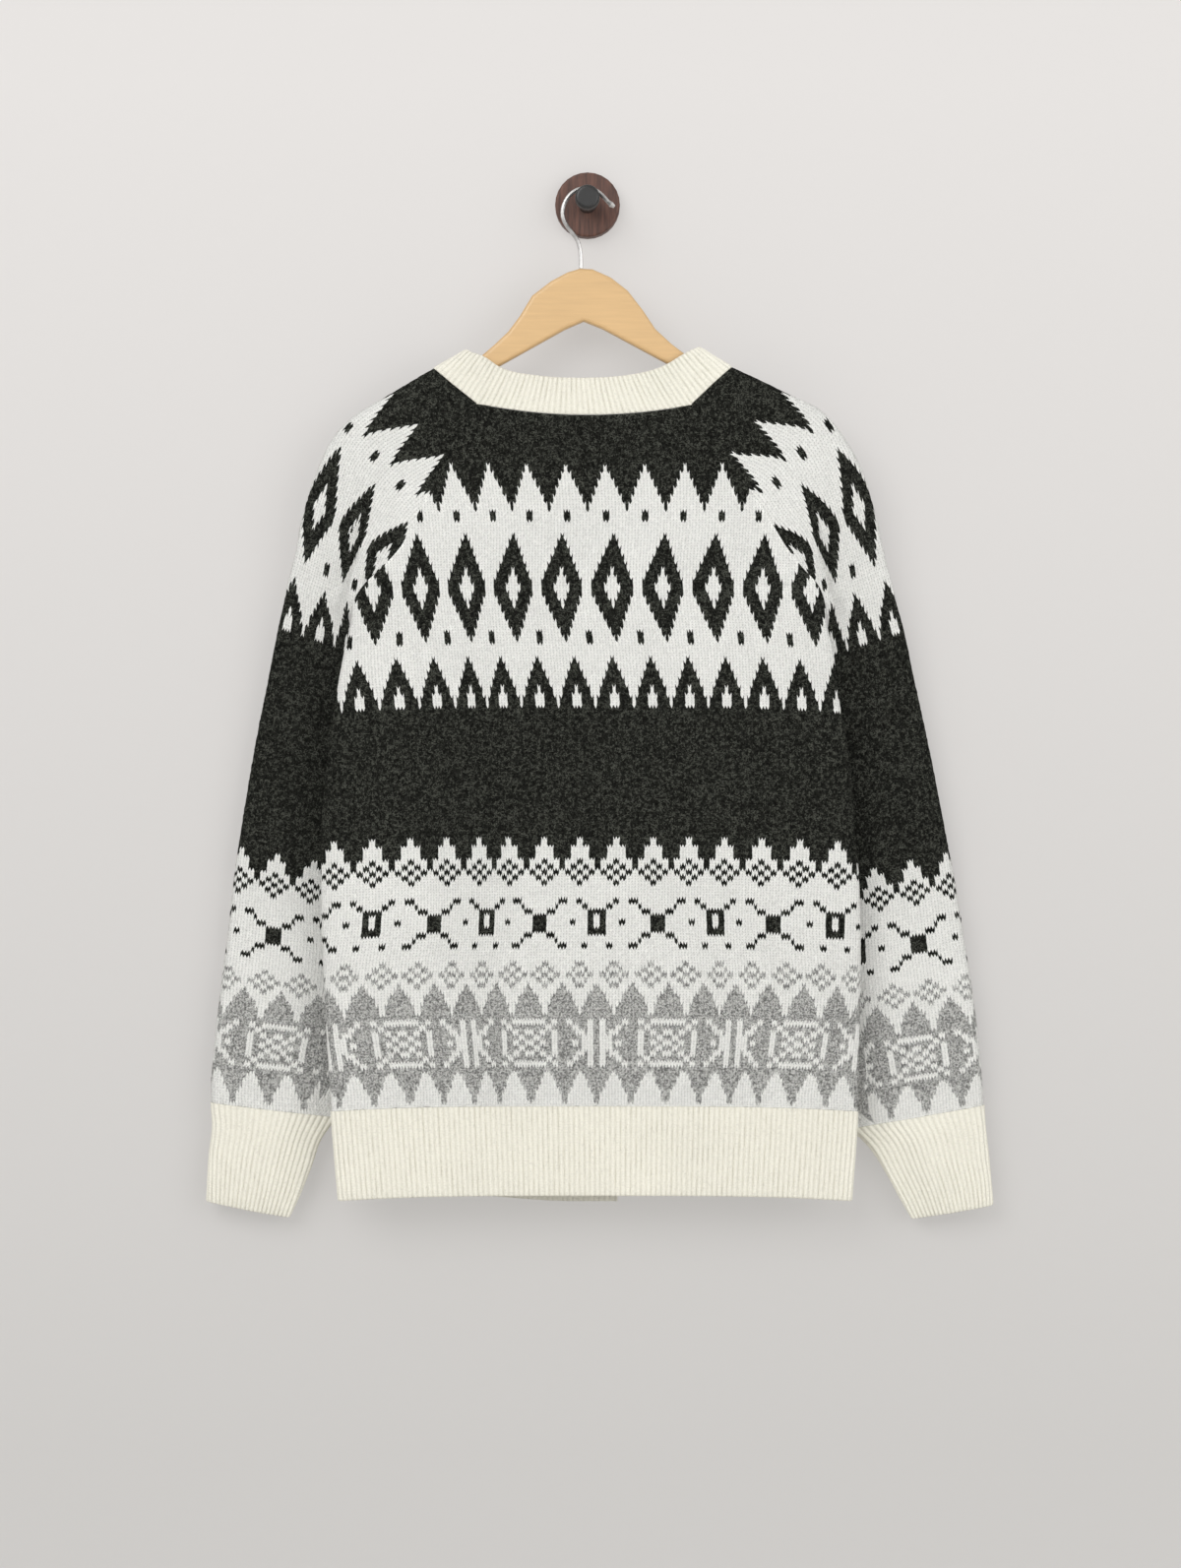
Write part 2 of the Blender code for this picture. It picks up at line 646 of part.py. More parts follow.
def make_band(name, side, material):
    """A front band with lengthwise ribs, and its two top corners."""
    columns = 2 * BAND_RIBS + 1
    tops = [up for up in CAP_ROWS if up < FRONT_NECK_Z - HEM_SEAM_Z - BAND_BELOW_NECK]
    ups = [-HEM_HEIGHT, 0, *PANEL_ROWS[1::2], UNDERARM_UP, *tops[1::3],
           FRONT_NECK_Z - HEM_SEAM_Z - SEAM_GAP]
    rows = []
    for up in ups:
        start = BAND_LEFT_X + (HALF_GAP if side < 0 else 0)
        end = BAND_RIGHT_X - (HALF_GAP if side > 0 else 0)
        angles = angle_at(up, np.linspace(start, end, columns), True)
        angles = np.where(angles < 0, angles + 2 * math.pi, angles)
        points = front_shift(body_point(up, angles), side, up)
        rows.append((points, body_normal(np.full(columns, up), angles)))
    sheet = stack(rows)
    cloth_wall(name, sheet, material, 0, rib_relief(len(ups), columns), RIB_INNER_STEP)
    return sheet.points[-1, [0, -1]]


# ---------------------------------------------------------------- sleeves

CREASE = ((0.0, 0.08), (2.5, 0.38), (5.5, 0.75), (10.0, 1.0))     # run out from the lip, share of the step
CREASE_ROOM = 36.0          # the crease is narrower where the cap is narrower than this
FOLD_REACH = 20.0           # the hidden fold is fully formed from this width
FOLD_SHARES = (0.15, 0.35, 0.55, 0.73)
FRONT_SHARES = (0.25, 0.42, 0.56, 0.68, 0.77, 0.85)
FRONT_CURVE = 1.6           # how late the front comes in to its seam
# Shares of the way from the underarm seam to the flat back, and of the depth between them.
ARM_STEP = ((0, 0), (0.2, 0.17), (0.38, 0.34), (0.54, 0.52), (0.7, 0.7), (0.85, 0.87), (1, 1))
FOLD_LIFT = 2.2             # the fold lies this far off the front panel


def on_line(start, end, fraction):
    """A place between two others."""
    return tuple(a + (b - a) * fraction for a, b in zip(start, end))


def arm_controls(row, root, depth, finish, finish_y):
    """Points from the back of the arm round the outer fold and along the front to the seam."""
    out = (row.out, row.out_z)
    half = (depth.front - depth.back) / 2
    middle = on_line(out, finish, 0.45)
    places = [
        (*on_line(root, out, 0.36), depth.back),
        (*on_line(root, out, 0.66), depth.back + half * 0.04),
        (*on_line(root, out, 0.88), depth.back + half * 0.2),
        (*on_line(root, out, 0.975), depth.edge - half * 0.5),
        (*out, depth.edge),
        (*on_line(out, finish, 0.015), depth.edge + half * 0.5),
        (*on_line(out, finish, 0.09), depth.front - half * 0.2),
        (*middle, depth.front),
    ]
    for share in FRONT_SHARES:
        place = on_line(middle, finish, share)
        places.append((*place, depth.front + (finish_y - depth.front) * share**FRONT_CURVE))
    places.append((*finish, finish_y))
    return places


def turned_under(places, row, depth, seam, side):
    """Move the last points of a closed course to the fold that lies behind the body."""
    inn = (row.inn, row.inn_z)
    out = (row.out, row.out_z)
    turned = float(ease((math.dist(inn, seam) - 2) / FOLD_REACH))
    folded = []
    for share in FOLD_SHARES:
        place = on_line(inn, seam, share)
        off_panel = front_depth(side * place[0], place[1]) + FOLD_LIFT
        folded.append((*place, max(off_panel, depth.back, depth.seam)))
    middle = (depth.front + folded[0][2]) / 2
    folded = [(*on_line(inn, out, 0.1), depth.front), (*inn, middle), *folded]
    first = len(places) - 1 - len(folded)
    moved = [on_line(flat, fold, turned) for flat, fold in zip(places[first:-1], folded)]
    return places[:first] + moved + places[-1:]


def tube_controls(row, depth, side):
    """Points round a closed course, from the underarm seam round the back and the outer fold."""
    out = (row.out, row.out_z)
    inn = (row.inn, row.inn_z)
    seam = on_line(out, inn, (row.out - row.seam) / (row.out - row.inn))
    face = on_line(out, inn, (row.out - row.face) / (row.out - row.inn))
    rise = depth.back - depth.seam
    places = [(*on_line(seam, face, share), depth.seam + rise * rise_share)
              for share, rise_share in ARM_STEP]
    places += arm_controls(row, face, depth, seam, depth.seam)
    places = turned_under(places, row, depth, seam, side)
    return [(side * a, y, z) for a, z, y in places]


def cap_controls(row, depth, side):
    """Points along a course of the cap, from the back raglan seam to the front one."""
    back_seam = seam_on_body(row.seam_z, side, False)[0][0]
    front_seam = seam_on_body(row.front_seam_z, side, True)[0][0]
    start = (abs(back_seam[0]), back_seam[2])
    finish = (abs(front_seam[0]), front_seam[2])
    lip = (row.lip, row.lip_z)
    out = (row.out, row.out_z)
    outward = on_line((0, 0), (out[0] - lip[0], out[1] - lip[1]), 1 / math.dist(out, lip))
    step = depth.back - depth.sheet
    width = min(1.0, math.dist(out, lip) / CREASE_ROOM)
    places = [(*start, back_seam[1]),
              (*on_line(start, lip, 0.42), (back_seam[1] + depth.sheet) / 2),
              (*on_line(start, lip, 0.8), depth.sheet)]
    for run, drop in CREASE:
        run *= width
        places.append((lip[0] + outward[0] * run, lip[1] + outward[1] * run, depth.sheet + step * drop))
    places += arm_controls(row, lip, depth, finish, front_seam[1])
    return [(side * a, y, z) for a, z, y in places]


def depth_at(course):
    """The sleeve's depths at one course."""
    values = [column(SLEEVE_DEPTHS, name, [course])[0] for name in DepthRow._fields[1:]]
    return DepthRow(course, *values)


class Sleeve:
    """The outer surface of one sleeve, read by course and by place along the course."""

    def __init__(self, tube, cap, side):
        self.side = side
        self.cap = cap
        self.courses = [row.course for row in tube + cap]
        controls = [tube_controls(row, depth_at(row.course), side) for row in tube]
        controls += [cap_controls(row, depth_at(row.course), side) for row in cap]
        self.controls = np.array(controls)
        self.last = self.controls.shape[1] - 1

    def seam(self, course, on_front):
        """Point and normal on a raglan seam at a course of the cap."""
        values = [row.front_seam_z if on_front else row.seam_z for row in self.cap]
        z = smooth_through([row.course for row in self.cap], values, [course])
        point, normal = seam_on_body(z, self.side, on_front)
        return point[0], normal[0]

    def at(self, course, places):
        """Points of one course."""
        points = smooth_through(self.courses, self.controls, [course])[0]
        if course >= self.cap[0].course:
            points[0] = self.seam(course, False)[0]
            points[-1] = self.seam(course, True)[0]
        along = arc_lengths(points) + 0.3 * np.arange(len(points))
        return smooth_through(along, points, np.interp(places, np.arange(len(points)), along))

    def in_course_plane(self, normal):
        """The same normals, turned into the plane of the seam between sleeve and cuff."""
        ring = self.controls[self.courses.index(0)]
        across = unit((ring.max(axis=0) - ring.min(axis=0)) * np.array([1.0, 0.0, self.side * -1.0]))
        towards_room = np.array([0.0, 1.0, 0.0])
        return unit(np.outer(normal @ across, across) + np.outer(normal @ towards_room, towards_room))

    def normals(self, course, places):
        """Outward normals of one course."""
        along = self.at(course, np.minimum(places + 0.02, self.last))
        along = along - self.at(course, np.maximum(places - 0.02, 0))
        top = min(course + 0.5, self.courses[-1])
        up = self.at(top, places) - self.at(max(course - 0.5, self.courses[0]), places)
        normal = np.cross(along, up) * self.side
        normal /= np.linalg.norm(normal, axis=1, keepdims=True)
        if abs(course) <= HALF_GAP:
            normal = self.in_course_plane(normal)
        if course < self.cap[0].course:
            normal[[0, -1]] = normal[0] + normal[-1]
            normal /= np.linalg.norm(normal, axis=1, keepdims=True)
        else:
            normal[0] = self.seam(course, False)[1]
            normal[-1] = self.seam(course, True)[1]
        return normal


def unit(vector):
    return vector / np.linalg.norm(vector, axis=-1, keepdims=True)


def trim_ends(points, gap):
    """Draw the two ends of a row in by a gap."""
    trimmed = points.copy()
    for end, neighbour in ((0, 1), (-1, -2)):
        step = points[neighbour] - points[end]
        trimmed[end] += step / np.linalg.norm(step) * gap
    return trimmed


TUBE_COURSES = (HALF_GAP, 60, 120, 180, 230, 275, 310, 340, 365, 387, 404, 419)
CAP_COURSES = (432, 440, 449, 460, 473, 487, 503, 521, 540, 565, 593, 621 - HALF_GAP)


def sleeve_rows(sleeve, courses, opened):
    places = np.arange(sleeve.last + 1.0)
    rows = []
    for course in courses:
        points = sleeve.at(course, places)
        normals = sleeve.normals(course, places)
        rows.append((trim_ends(points, HALF_GAP) if opened else points, normals))
    return rows


def make_sleeve(name, sleeve, material):
    """A sleeve, and the points of its neck seam from its back to its front."""
    sheet = stack(sleeve_rows(sleeve, TUBE_COURSES, False) + sleeve_rows(sleeve, CAP_COURSES, True))
    cloth_wall(name, sheet, material, closed_rows=len(TUBE_COURSES), wall=SLEEVE_WALL)
    return sheet.points[-1]


def make_cuff(name, sleeve, material):
    fine = np.linspace(0, sleeve.last, 341)
    columns = rib_columns(arc_lengths(sleeve.at(-HALF_GAP, fine))[-1])
    rows = []
    for course in (-78.0, -38.0, -HALF_GAP):
        along = arc_lengths(sleeve.at(course, fine))
        places = np.interp(np.linspace(0, along[-1], columns), along, fine)
        rows.append((sleeve.at(course, places), sleeve.normals(course, places)))
    relief = rib_relief(len(rows), columns)
    cloth_wall(name, stack(rows), material, len(rows), relief, BENT_INNER_STEP, SLEEVE_WALL)


# ---------------------------------------------------------------- neckband

def make_neckband(seam, material):
    """A ribbed strip from a line of points along the neck to its free edge."""
    along = arc_lengths(seam)
    columns = rib_columns(along[-1])
    places = np.linspace(0, along[-1], columns)
    for corner in along:
        places[np.argmin(np.abs(places - corner))] = corner
    lower = np.stack([np.interp(places, along, seam[:, axis]) for axis in range(3)], axis=1)
    scale = NECK_EDGE[-1].along / along[-1]
    upper = np.stack([column(NECK_EDGE, axis, places * scale) for axis in "xyz"], axis=1)
    rise = upper - lower
    lower = lower + unit(rise) * NECK_GAP
    normal = unit(np.cross(np.gradient((lower + upper) / 2, axis=0), rise))
    sheet = stack([(lower, normal), (upper, normal)])
    cloth_wall("neckband", sheet, material, 0, rib_relief(2, columns), NECK_INNER_STEP)


# ---------------------------------------------------------------- hard pieces

def turned_about_y(name, profile, segments, material):
    """A closed solid turned about the y axis, from (radius, y) pairs that start and end on it."""
    vertices = [(0, profile[0][1], 0)]
    for radius, y in profile[1:-1]:
        for k in range(segments):
            turn = 2 * math.pi * k / segments
            vertices.append((radius * math.cos(turn), y, radius * math.sin(turn)))
    vertices.append((0, profile[-1][1], 0))
    rings = len(profile) - 2
    last = len(vertices) - 1
    faces = []
    for k in range(segments):
        following = (k + 1) % segments
        faces.append((0, 1 + k, 1 + following))
        top = 1 + (rings - 1) * segments
        faces.append((last, top + following, top + k))
        for ring in range(rings - 1):
            near = 1 + ring * segments
            far = near + segments
            faces.append((near + k, far + k, far + following, near + following))
    obj = object_from(name, vertices, faces, material)
    obj.data.shade_smooth()
    obj.data.set_sharp_from_angle(angle=math.radians(35))
    return obj


def rounded(radius, y_from, y_to, edge, steps=3):
    """Profile points of a quarter-round edge that goes from a side to a face."""
    direction = 1 if y_to > y_from else -1
    points = []
    for k in range(steps + 1):
        turn = math.pi / 2 * k / steps
        points.append((radius - edge + edge * math.cos(turn),
                       y_to - direction * (edge - edge * math.sin(turn))))
    return points


def make_peg(disc_material, knob_material):
    face = -DISC_THICKNESS
    profile = [(0, 0), (DISC_RADIUS - 0.6, 0), (DISC_RADIUS, -0.6),
               *rounded(DISC_RADIUS, 0, face, DISC_EDGE), (0, face)]
    turned_about_y("peg_disc", profile, 28, disc_material)
    start = face - SEAM_GAP
    profile = [(0, start), (STEM_RADIUS, start), (STEM_RADIUS, KNOB_BACK_Y + 1.0),
               (STEM_RADIUS + 1.0, KNOB_BACK_Y), (KNOB_RADIUS - 0.8, KNOB_BACK_Y),
               (KNOB_RADIUS, KNOB_BACK_Y - 0.8),
               *rounded(KNOB_RADIUS, KNOB_BACK_Y, KNOB_FRONT_Y, KNOB_EDGE), (0, KNOB_FRONT_Y)]
    turned_about_y("peg_knob", profile, 20, knob_material)


def make_hanger(material):
    """The hanger's outline, extruded to its thickness and rounded along its long edges."""
    front = HANGER_MIDDLE_Y - HANGER_THICKNESS / 2
    solid = bmesh.new()
    ring = [solid.verts.new((p.x * MM, front * MM, p.z * MM)) for p in HANGER_OUTLINE]
    face = solid.faces.new(ring)
    pushed = bmesh.ops.extrude_face_region(solid, geom=[face])
    moved = [part for part in pushed["geom"] if isinstance(part, bmesh.types.BMVert)]
    bmesh.ops.translate(solid, verts=moved, vec=(0, HANGER_THICKNESS * MM, 0))
    rims = [edge for edge in solid.edges
            if abs(edge.verts[0].co.y - edge.verts[1].co.y) < HANGER_THICKNESS * MM / 2]
    bmesh.ops.bevel(solid, geom=rims, offset=HANGER_EDGE_RADIUS * MM, segments=3,
                    profile=0.5, affect="EDGES", clamp_overlap=True)
    bmesh.ops.recalc_face_normals(solid, faces=solid.faces)
    mesh = bpy.data.meshes.new("hanger")
    solid.to_mesh(mesh)
    solid.free()
    mesh.materials.append(material)
    mesh.shade_smooth()
    mesh.set_sharp_from_angle(angle=math.radians(40))
    bpy.context.collection.objects.link(bpy.data.objects.new("hanger", mesh))


def make_hook(material):
    """The bent wire of the hook, thicker at its ball end."""
    line = np.array([(p.x, HANGER_MIDDLE_Y, p.z) for p in HOOK_LINE])
    along = arc_lengths(line)
    places = np.linspace(0, along[-1], 34)
    points = smooth_through(along, line, places)
    curve = bpy.data.curves.new("hanger_hook", "CURVE")
    curve.dimensions = "3D"
    curve.bevel_depth = WIRE_RADIUS * MM
    curve.bevel_resolution = 2
    curve.use_fill_caps = True
    spline = curve.splines.new("POLY")
    spline.points.add(len(points) - 1)
    ball = HOOK_BALL_RADIUS / WIRE_RADIUS
    for point, place, spot in zip(points, places, spline.points):
        spot.co = (*(point * MM), 1.0)
        to_end = along[-1] - place
        spot.radius = 1.0
        if to_end < 2 * HOOK_BALL_RADIUS:
            offset = (to_end - HOOK_BALL_RADIUS) / HOOK_BALL_RADIUS
            spot.radius = max(0.75, ball * math.sqrt(max(0.0, 1 - 0.7 * offset**2)))
    curve.materials.append(material)
    bpy.context.collection.objects.link(bpy.data.objects.new("hanger_hook", curve))


def make_buttons(material):
    """Buttons on the lapped band's outer face, evenly spaced."""
    for k in range(BUTTON_COUNT):
        z = BUTTON_TOP_Z + (BUTTON_BOTTOM_Z - BUTTON_TOP_Z) * k / (BUTTON_COUNT - 1)
        up = z - HEM_SEAM_Z
        angle = angle_at(up, BAND_MIDDLE_X, True)
        seat = front_shift(body_point(up, angle), 1, up)[0]
        start = seat[1] + RIB_RISE + 2 * SEAM_GAP
        outer = start + BUTTON_THICKNESS
        profile = [(0, start), (BUTTON_RADIUS - 1.2, start), (BUTTON_RADIUS, start + 1.0),
                   (BUTTON_RADIUS, outer - 0.8), (BUTTON_RADIUS - 0.8, outer),
                   (BUTTON_RADIUS - 2.2, outer), (BUTTON_RADIUS - 3.2, outer - 0.9), (0, outer - 0.9)]
        button = turned_about_y(f"button_{k + 1}", profile, 12, material)
        button.data.transform(placement(seat[0], seat[2]))


def placement(x, z):
    return Matrix.Translation((x * MM, 0, z * MM))


# ---------------------------------------------------------------- the whole part

def clear_scene():
    for obj in list(bpy.data.objects):
        bpy.data.objects.remove(obj)


def main():
    clear_scene()
    knit = make_material("fair_isle_knit", (0.42, 0.42, 0.40), 0.95)
    rib = make_material("cream_rib", (0.86, 0.84, 0.76), 0.95)
    wood = make_material("beech", (0.75, 0.50, 0.26), 0.45)
    steel = make_material("nickel_steel", (0.75, 0.75, 0.74), 0.2, 1.0)
    walnut = make_material("walnut", (0.13, 0.06, 0.04), 0.4)
    black = make_material("black_lacquer", (0.02, 0.02, 0.02), 0.35)
    horn = make_material("horn_button", (0.80, 0.77, 0.68), 0.35)

    make_peg(walnut, black)
    make_hook(steel)
    make_hanger(wood)
    back_neck = make_back_panel(knit)
    make_back_hem(rib)
    bands = {-1: make_band("button_band", -1, rib), 1: make_band("buttonhole_band", 1, rib)}
    necklines = {}
    sleeve_tops = {}
    for side, name, tube, cap in ((-1, "left", LEFT_TUBE, LEFT_CAP), (1, "right", RIGHT_TUBE, RIGHT_CAP)):
        necklines[side] = make_front(f"{name}_front", side, knit)
        make_front_hem(f"{name}_front_hem", side, rib)
        sleeve = Sleeve(tube, cap, side)
        sleeve_tops[side] = make_sleeve(f"{name}_sleeve", sleeve, knit)
        make_cuff(f"{name}_cuff", sleeve, rib)
    seam = [bands[-1][::-1], necklines[-1], sleeve_tops[-1][::-1], back_neck,
            sleeve_tops[1], necklines[1][::-1], bands[1][::-1]]
    make_neckband(np.concatenate(seam), rib)
    make_buttons(horn)


main()
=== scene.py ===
"""Fair isle cardigan on a wooden hanger: the finished look of every piece, as a Blender add-on.

Lengths in the tables are millimetres and are turned into metres when a mesh is made. The origin is
the centre of the peg disc's back face, on the wall. +X is to the right as one faces the wall, +Z is
up, and the wall is the plane y = 0. The cardigan's back faces the room. Its left and right are the
wearer's, which are also those of someone facing the wall.
"""
import math
from collections import namedtuple

import bmesh
import bpy
import numpy as np
from mathutils import Matrix, Vector


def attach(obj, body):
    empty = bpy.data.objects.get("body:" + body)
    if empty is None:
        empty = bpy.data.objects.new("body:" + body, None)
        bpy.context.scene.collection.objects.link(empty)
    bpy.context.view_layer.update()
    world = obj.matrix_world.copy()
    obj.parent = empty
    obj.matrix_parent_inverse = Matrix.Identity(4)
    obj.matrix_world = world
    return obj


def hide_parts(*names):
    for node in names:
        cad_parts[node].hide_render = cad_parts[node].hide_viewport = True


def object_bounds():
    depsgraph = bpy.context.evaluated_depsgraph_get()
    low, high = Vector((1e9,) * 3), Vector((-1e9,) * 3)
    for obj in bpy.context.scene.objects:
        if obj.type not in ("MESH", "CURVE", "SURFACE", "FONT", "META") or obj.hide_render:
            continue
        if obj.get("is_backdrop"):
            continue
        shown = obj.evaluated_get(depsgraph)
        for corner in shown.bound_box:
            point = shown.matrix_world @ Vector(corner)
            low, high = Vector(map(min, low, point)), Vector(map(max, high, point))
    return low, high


bl_info = {
    "name": "Fair isle cardigan",
    "version": (1, 0, 0),
    "blender": (4, 5, 0),
    "location": "View3D > Sidebar > Cardigan",
    "description": "Knits a fair isle cardigan on its hanger and wall peg",
    "category": "Add Mesh",
}

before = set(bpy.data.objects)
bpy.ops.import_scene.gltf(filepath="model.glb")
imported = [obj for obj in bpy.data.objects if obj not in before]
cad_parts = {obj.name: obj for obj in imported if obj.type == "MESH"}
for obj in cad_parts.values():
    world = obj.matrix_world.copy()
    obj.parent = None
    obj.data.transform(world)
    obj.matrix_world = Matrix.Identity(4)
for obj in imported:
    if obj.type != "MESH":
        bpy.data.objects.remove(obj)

MM = 0.001

# Cloth
WALL = 2.4                  # thickness of the knitted fabric
SLEEVE_WALL = 1.2           # and of the sleeves, whose folds are tight
HALF_GAP = 0.03             # half the gap between two pieces at a seam
STITCH = 2.38               # width of a stitch
ROW = 2.07                  # height of a row of stitches
RIB_PITCH = 4.05            # one knit and one purl column of the 1 x 1 rib
RIB_COLUMNS = 6             # columns of points in one pitch
RIB_RISE = 0.95             # knit columns stand this far above the purl ones
NECK_GAP = 0.4              # the neckband stays this far off its seam

# Body
HEM_SEAM_Z = -719.0         # height of the seam between panels and hem rib
HEM_HEIGHT = 71.0
UNDERARM_UP = 393.0         # underarm, measured up from the hem seam
NECK_UP = 555.4             # back raglan seam's top end, measured up from the hem seam
BODY_SQUARENESS = 2.6       # exponent of the flattened ring: 2 is an ellipse
SIDE_BEND = -8.0            # the side folds stand this far forward of the middle plane
HEM_SAG = 4.5               # the hem hangs lower at its side folds
NECK_DIP = 8.4              # the back neck seam is lower in its middle
NECK_DIP_FROM_UP = 490.0
NECK_HALF_WIDTH = 86.0

# Front edges: the right front laps over the left one
BAND_LEFT_X = -10.0
BAND_RIGHT_X = 24.0
BAND_MIDDLE_X = (BAND_LEFT_X + BAND_RIGHT_X) / 2
LAP_DEPTH = 3.4
LAP_RUN = 45.0              # the right front rises to its lap over this width
LEFT_FRONT_DROP = 7.0       # the left front edge hangs below the back hem
RIGHT_FRONT_DROP = 1.5
DROP_RUN = 115.0
FRONT_NECK_Z = -226.5       # the front neck seam at the bands
FRONT_NECK_RISES = (0.5, 7, 18, 29, 39)

# Buttons
BUTTON_COUNT = 7
BUTTON_RADIUS = 9.0
BUTTON_THICKNESS = 3.2
BUTTON_TOP_Z = -242.0
BUTTON_BOTTOM_Z = -768.0

# Where the photograph was taken from
CAMERA = (0.0024, -3.250, -0.4644)
PHOTO_DISTANCE = 3200.0
PHOTO_HEIGHT = 1242.5       # millimetres that the picture's long side spans at that distance
SENSOR = 36.0

# Sleeves
UNDERARM_COURSE = 420.0     # the sleeve is a closed tube up to this course
CUFF_HEIGHT = 78.0

# Flattened rings of the body. up: height above the hem seam. left, right: side folds, or above the
# underarm how far the back's curve would reach. back, front: depth each way from the middle plane.
BodyRow = namedtuple("BodyRow", "up left right back front middle")
BODY = [
    BodyRow(-72, -197, 209, 16, 15, -43),
    BodyRow(0, -203, 214, 18, 17, -43),
    BodyRow(83, -208, 216, 20, 18, -43),
    BodyRow(167, -211, 216, 21, 19, -43),
    BodyRow(226, -211, 212, 21, 18, -43),
    BodyRow(286, -205, 207, 20, 16, -43),
    BodyRow(330, -199, 199, 18, 14, -43),
    BodyRow(369, -192, 194, 16, 13, -43),
    BodyRow(393, -187, 189, 14, 12, -43),
    BodyRow(416, -194, 197, 13, 12, -42.5),
    BodyRow(440, -215, 218, 12, 11, -42),
    BodyRow(466, -245, 248, 11, 11, -41),
    BodyRow(502, -290, 290, 10.5, 10, -40.5),
    BodyRow(560, -350, 350, 10.5, 10, -40),
]

# Raglan seams, from the underarm to the neck. z: height. left, right: the seam's place.
RaglanRow = namedtuple("RaglanRow", "z left right")
RAGLAN = [
    RaglanRow(-326, -187.0, 189.0),
    RaglanRow(-317, -185.5, 188.0),
    RaglanRow(-303, -176.5, 182.0),
    RaglanRow(-292, -163.5, 171.0),
    RaglanRow(-277, -149.0, 158.5),
    RaglanRow(-253, -136.0, 143.5),
    RaglanRow(-218, -117.0, 120.0),
    RaglanRow(-186, -99.5, 98.5),
    RaglanRow(-163, -88.0, 82.5),
]

# The front neck seam, from the bands up to the front raglan seams.
NecklineRow = namedtuple("NecklineRow", "z left right")
FRONT_NECKLINE = [
    NecklineRow(-226.5, -10.0, 24.0),
    NecklineRow(-224.5, -26.0, 36.0),
    NecklineRow(-219.0, -48.0, 54.0),
    NecklineRow(-208.0, -72.0, 75.0),
    NecklineRow(-197.0, -88.0, 88.5),
    NecklineRow(-187.0, -97.6, 96.8),
]

# Sleeve courses below the underarm, each a closed flattened ring on a straight line from its outer
# fold to its inner one, which lies behind the body. course: distance knitted up from the cuff seam.
# out, out_z and inn, inn_z: the two folds. face, seam: where the flat back starts, and the underarm
# seam. Distances out from x = 0 are positive on both sides.
TubeRow = namedtuple("TubeRow", "course out out_z face seam inn inn_z")
LEFT_TUBE = [
    TubeRow(-78, 304.5, -798, 262, 246, 231, -813),
    TubeRow(-60, 303.5, -781, 256, 240, 224, -795),
    TubeRow(-38, 302, -759, 249, 233, 216, -771),
    TubeRow(-16, 299.5, -737, 243, 226, 208.5, -748),
    TubeRow(0, 301, -719, 236, 218, 199, -731),
    TubeRow(52, 298, -667, 230, 212, 190, -680),
    TubeRow(103, 292.5, -620, 222, 203, 180, -632),
    TubeRow(145, 287.5, -581, 217, 196, 172, -595.5),
    TubeRow(186, 283, -539, 213, 188, 165, -558),
    TubeRow(215, 279, -512, 211, 184, 160, -534),
    TubeRow(300, 264.5, -426, 204, 176, 150, -454),
    TubeRow(350, 254.5, -377, 205, 182, 160, -409),
    TubeRow(387, 246.5, -338, 206, 189, 186, -358.5),
    TubeRow(405, 242, -319, 207, 188.6, 186, -339),
    TubeRow(420, 239, -304, 205, 188.4, 186, -329),
]
RIGHT_TUBE = [
    TubeRow(-78, 324, -801, 286, 270, 254, -813.5),
    TubeRow(-60, 322.5, -783, 279, 263, 246, -797),
    TubeRow(-38, 320.5, -761, 270, 253, 235.5, -776.5),
    TubeRow(-16, 318, -738, 260, 242, 223, -754),
    TubeRow(0, 317, -721, 248, 230, 210, -739.8),
    TubeRow(52, 313.5, -674, 242, 223, 202, -692),
    TubeRow(103, 307.5, -627, 233, 213, 192, -641.5),
    TubeRow(145, 301, -586, 227, 206, 184, -604),
    TubeRow(186, 294.5, -544, 221, 198, 177, -564.5),
    TubeRow(215, 289, -516, 216, 192, 172, -541.5),
    TubeRow(300, 272, -429, 206, 179, 156, -457),
    TubeRow(350, 261, -380, 207, 184, 163, -413),
    TubeRow(387, 252.5, -341, 208, 190.5, 187.5, -362.5),
    TubeRow(405, 247, -322, 209, 190.6, 188, -343),
    TubeRow(420, 243.5, -307, 207, 190.4, 188, -329),
]

# Sleeve courses of the cap, between the back and front raglan seams. lip, lip_z: where the cloth by
# the seam steps back to the arm in a soft crease. seam_z, front_seam_z: heights on the two seams.
CapRow = namedtuple("CapRow", "course out out_z lip lip_z seam_z front_seam_z")
LEFT_CAP = [
    CapRow(432, 235.5, -290.5, 190, -312, -315, -315),
    CapRow(444, 232, -277, 187.5, -302, -306, -306),
    CapRow(460, 229, -260, 182, -288, -300, -302),
    CapRow(480, 223, -238, 179, -270, -288.5, -291),
    CapRow(500, 214.5, -214, 175, -249, -276, -279),
    CapRow(521, 203.5, -191, 167, -231, -262, -267),
    CapRow(542, 189, -175, 160, -206, -241, -251),
    CapRow(576, 158, -155.5, 138, -180, -210, -224),
    CapRow(621, 122.5, -134.5, 108, -147, -163, -187),
]
RIGHT_CAP = [
    CapRow(432, 239.5, -293, 192, -312, -315, -315),
    CapRow(444, 236, -279, 189.5, -302, -306, -306),
    CapRow(460, 232, -261, 184, -288, -300, -302),
    CapRow(480, 226, -238, 180.5, -270, -289, -291),
    CapRow(500, 218, -214, 176, -249, -274, -279),
    CapRow(521, 206.5, -193, 168, -231, -257, -267),
    CapRow(542, 190.5, -172, 159, -204, -238, -251),
    CapRow(576, 158, -154, 136, -178, -208, -224),
    CapRow(621, 115, -133.5, 101, -146, -163.4, -187),
]

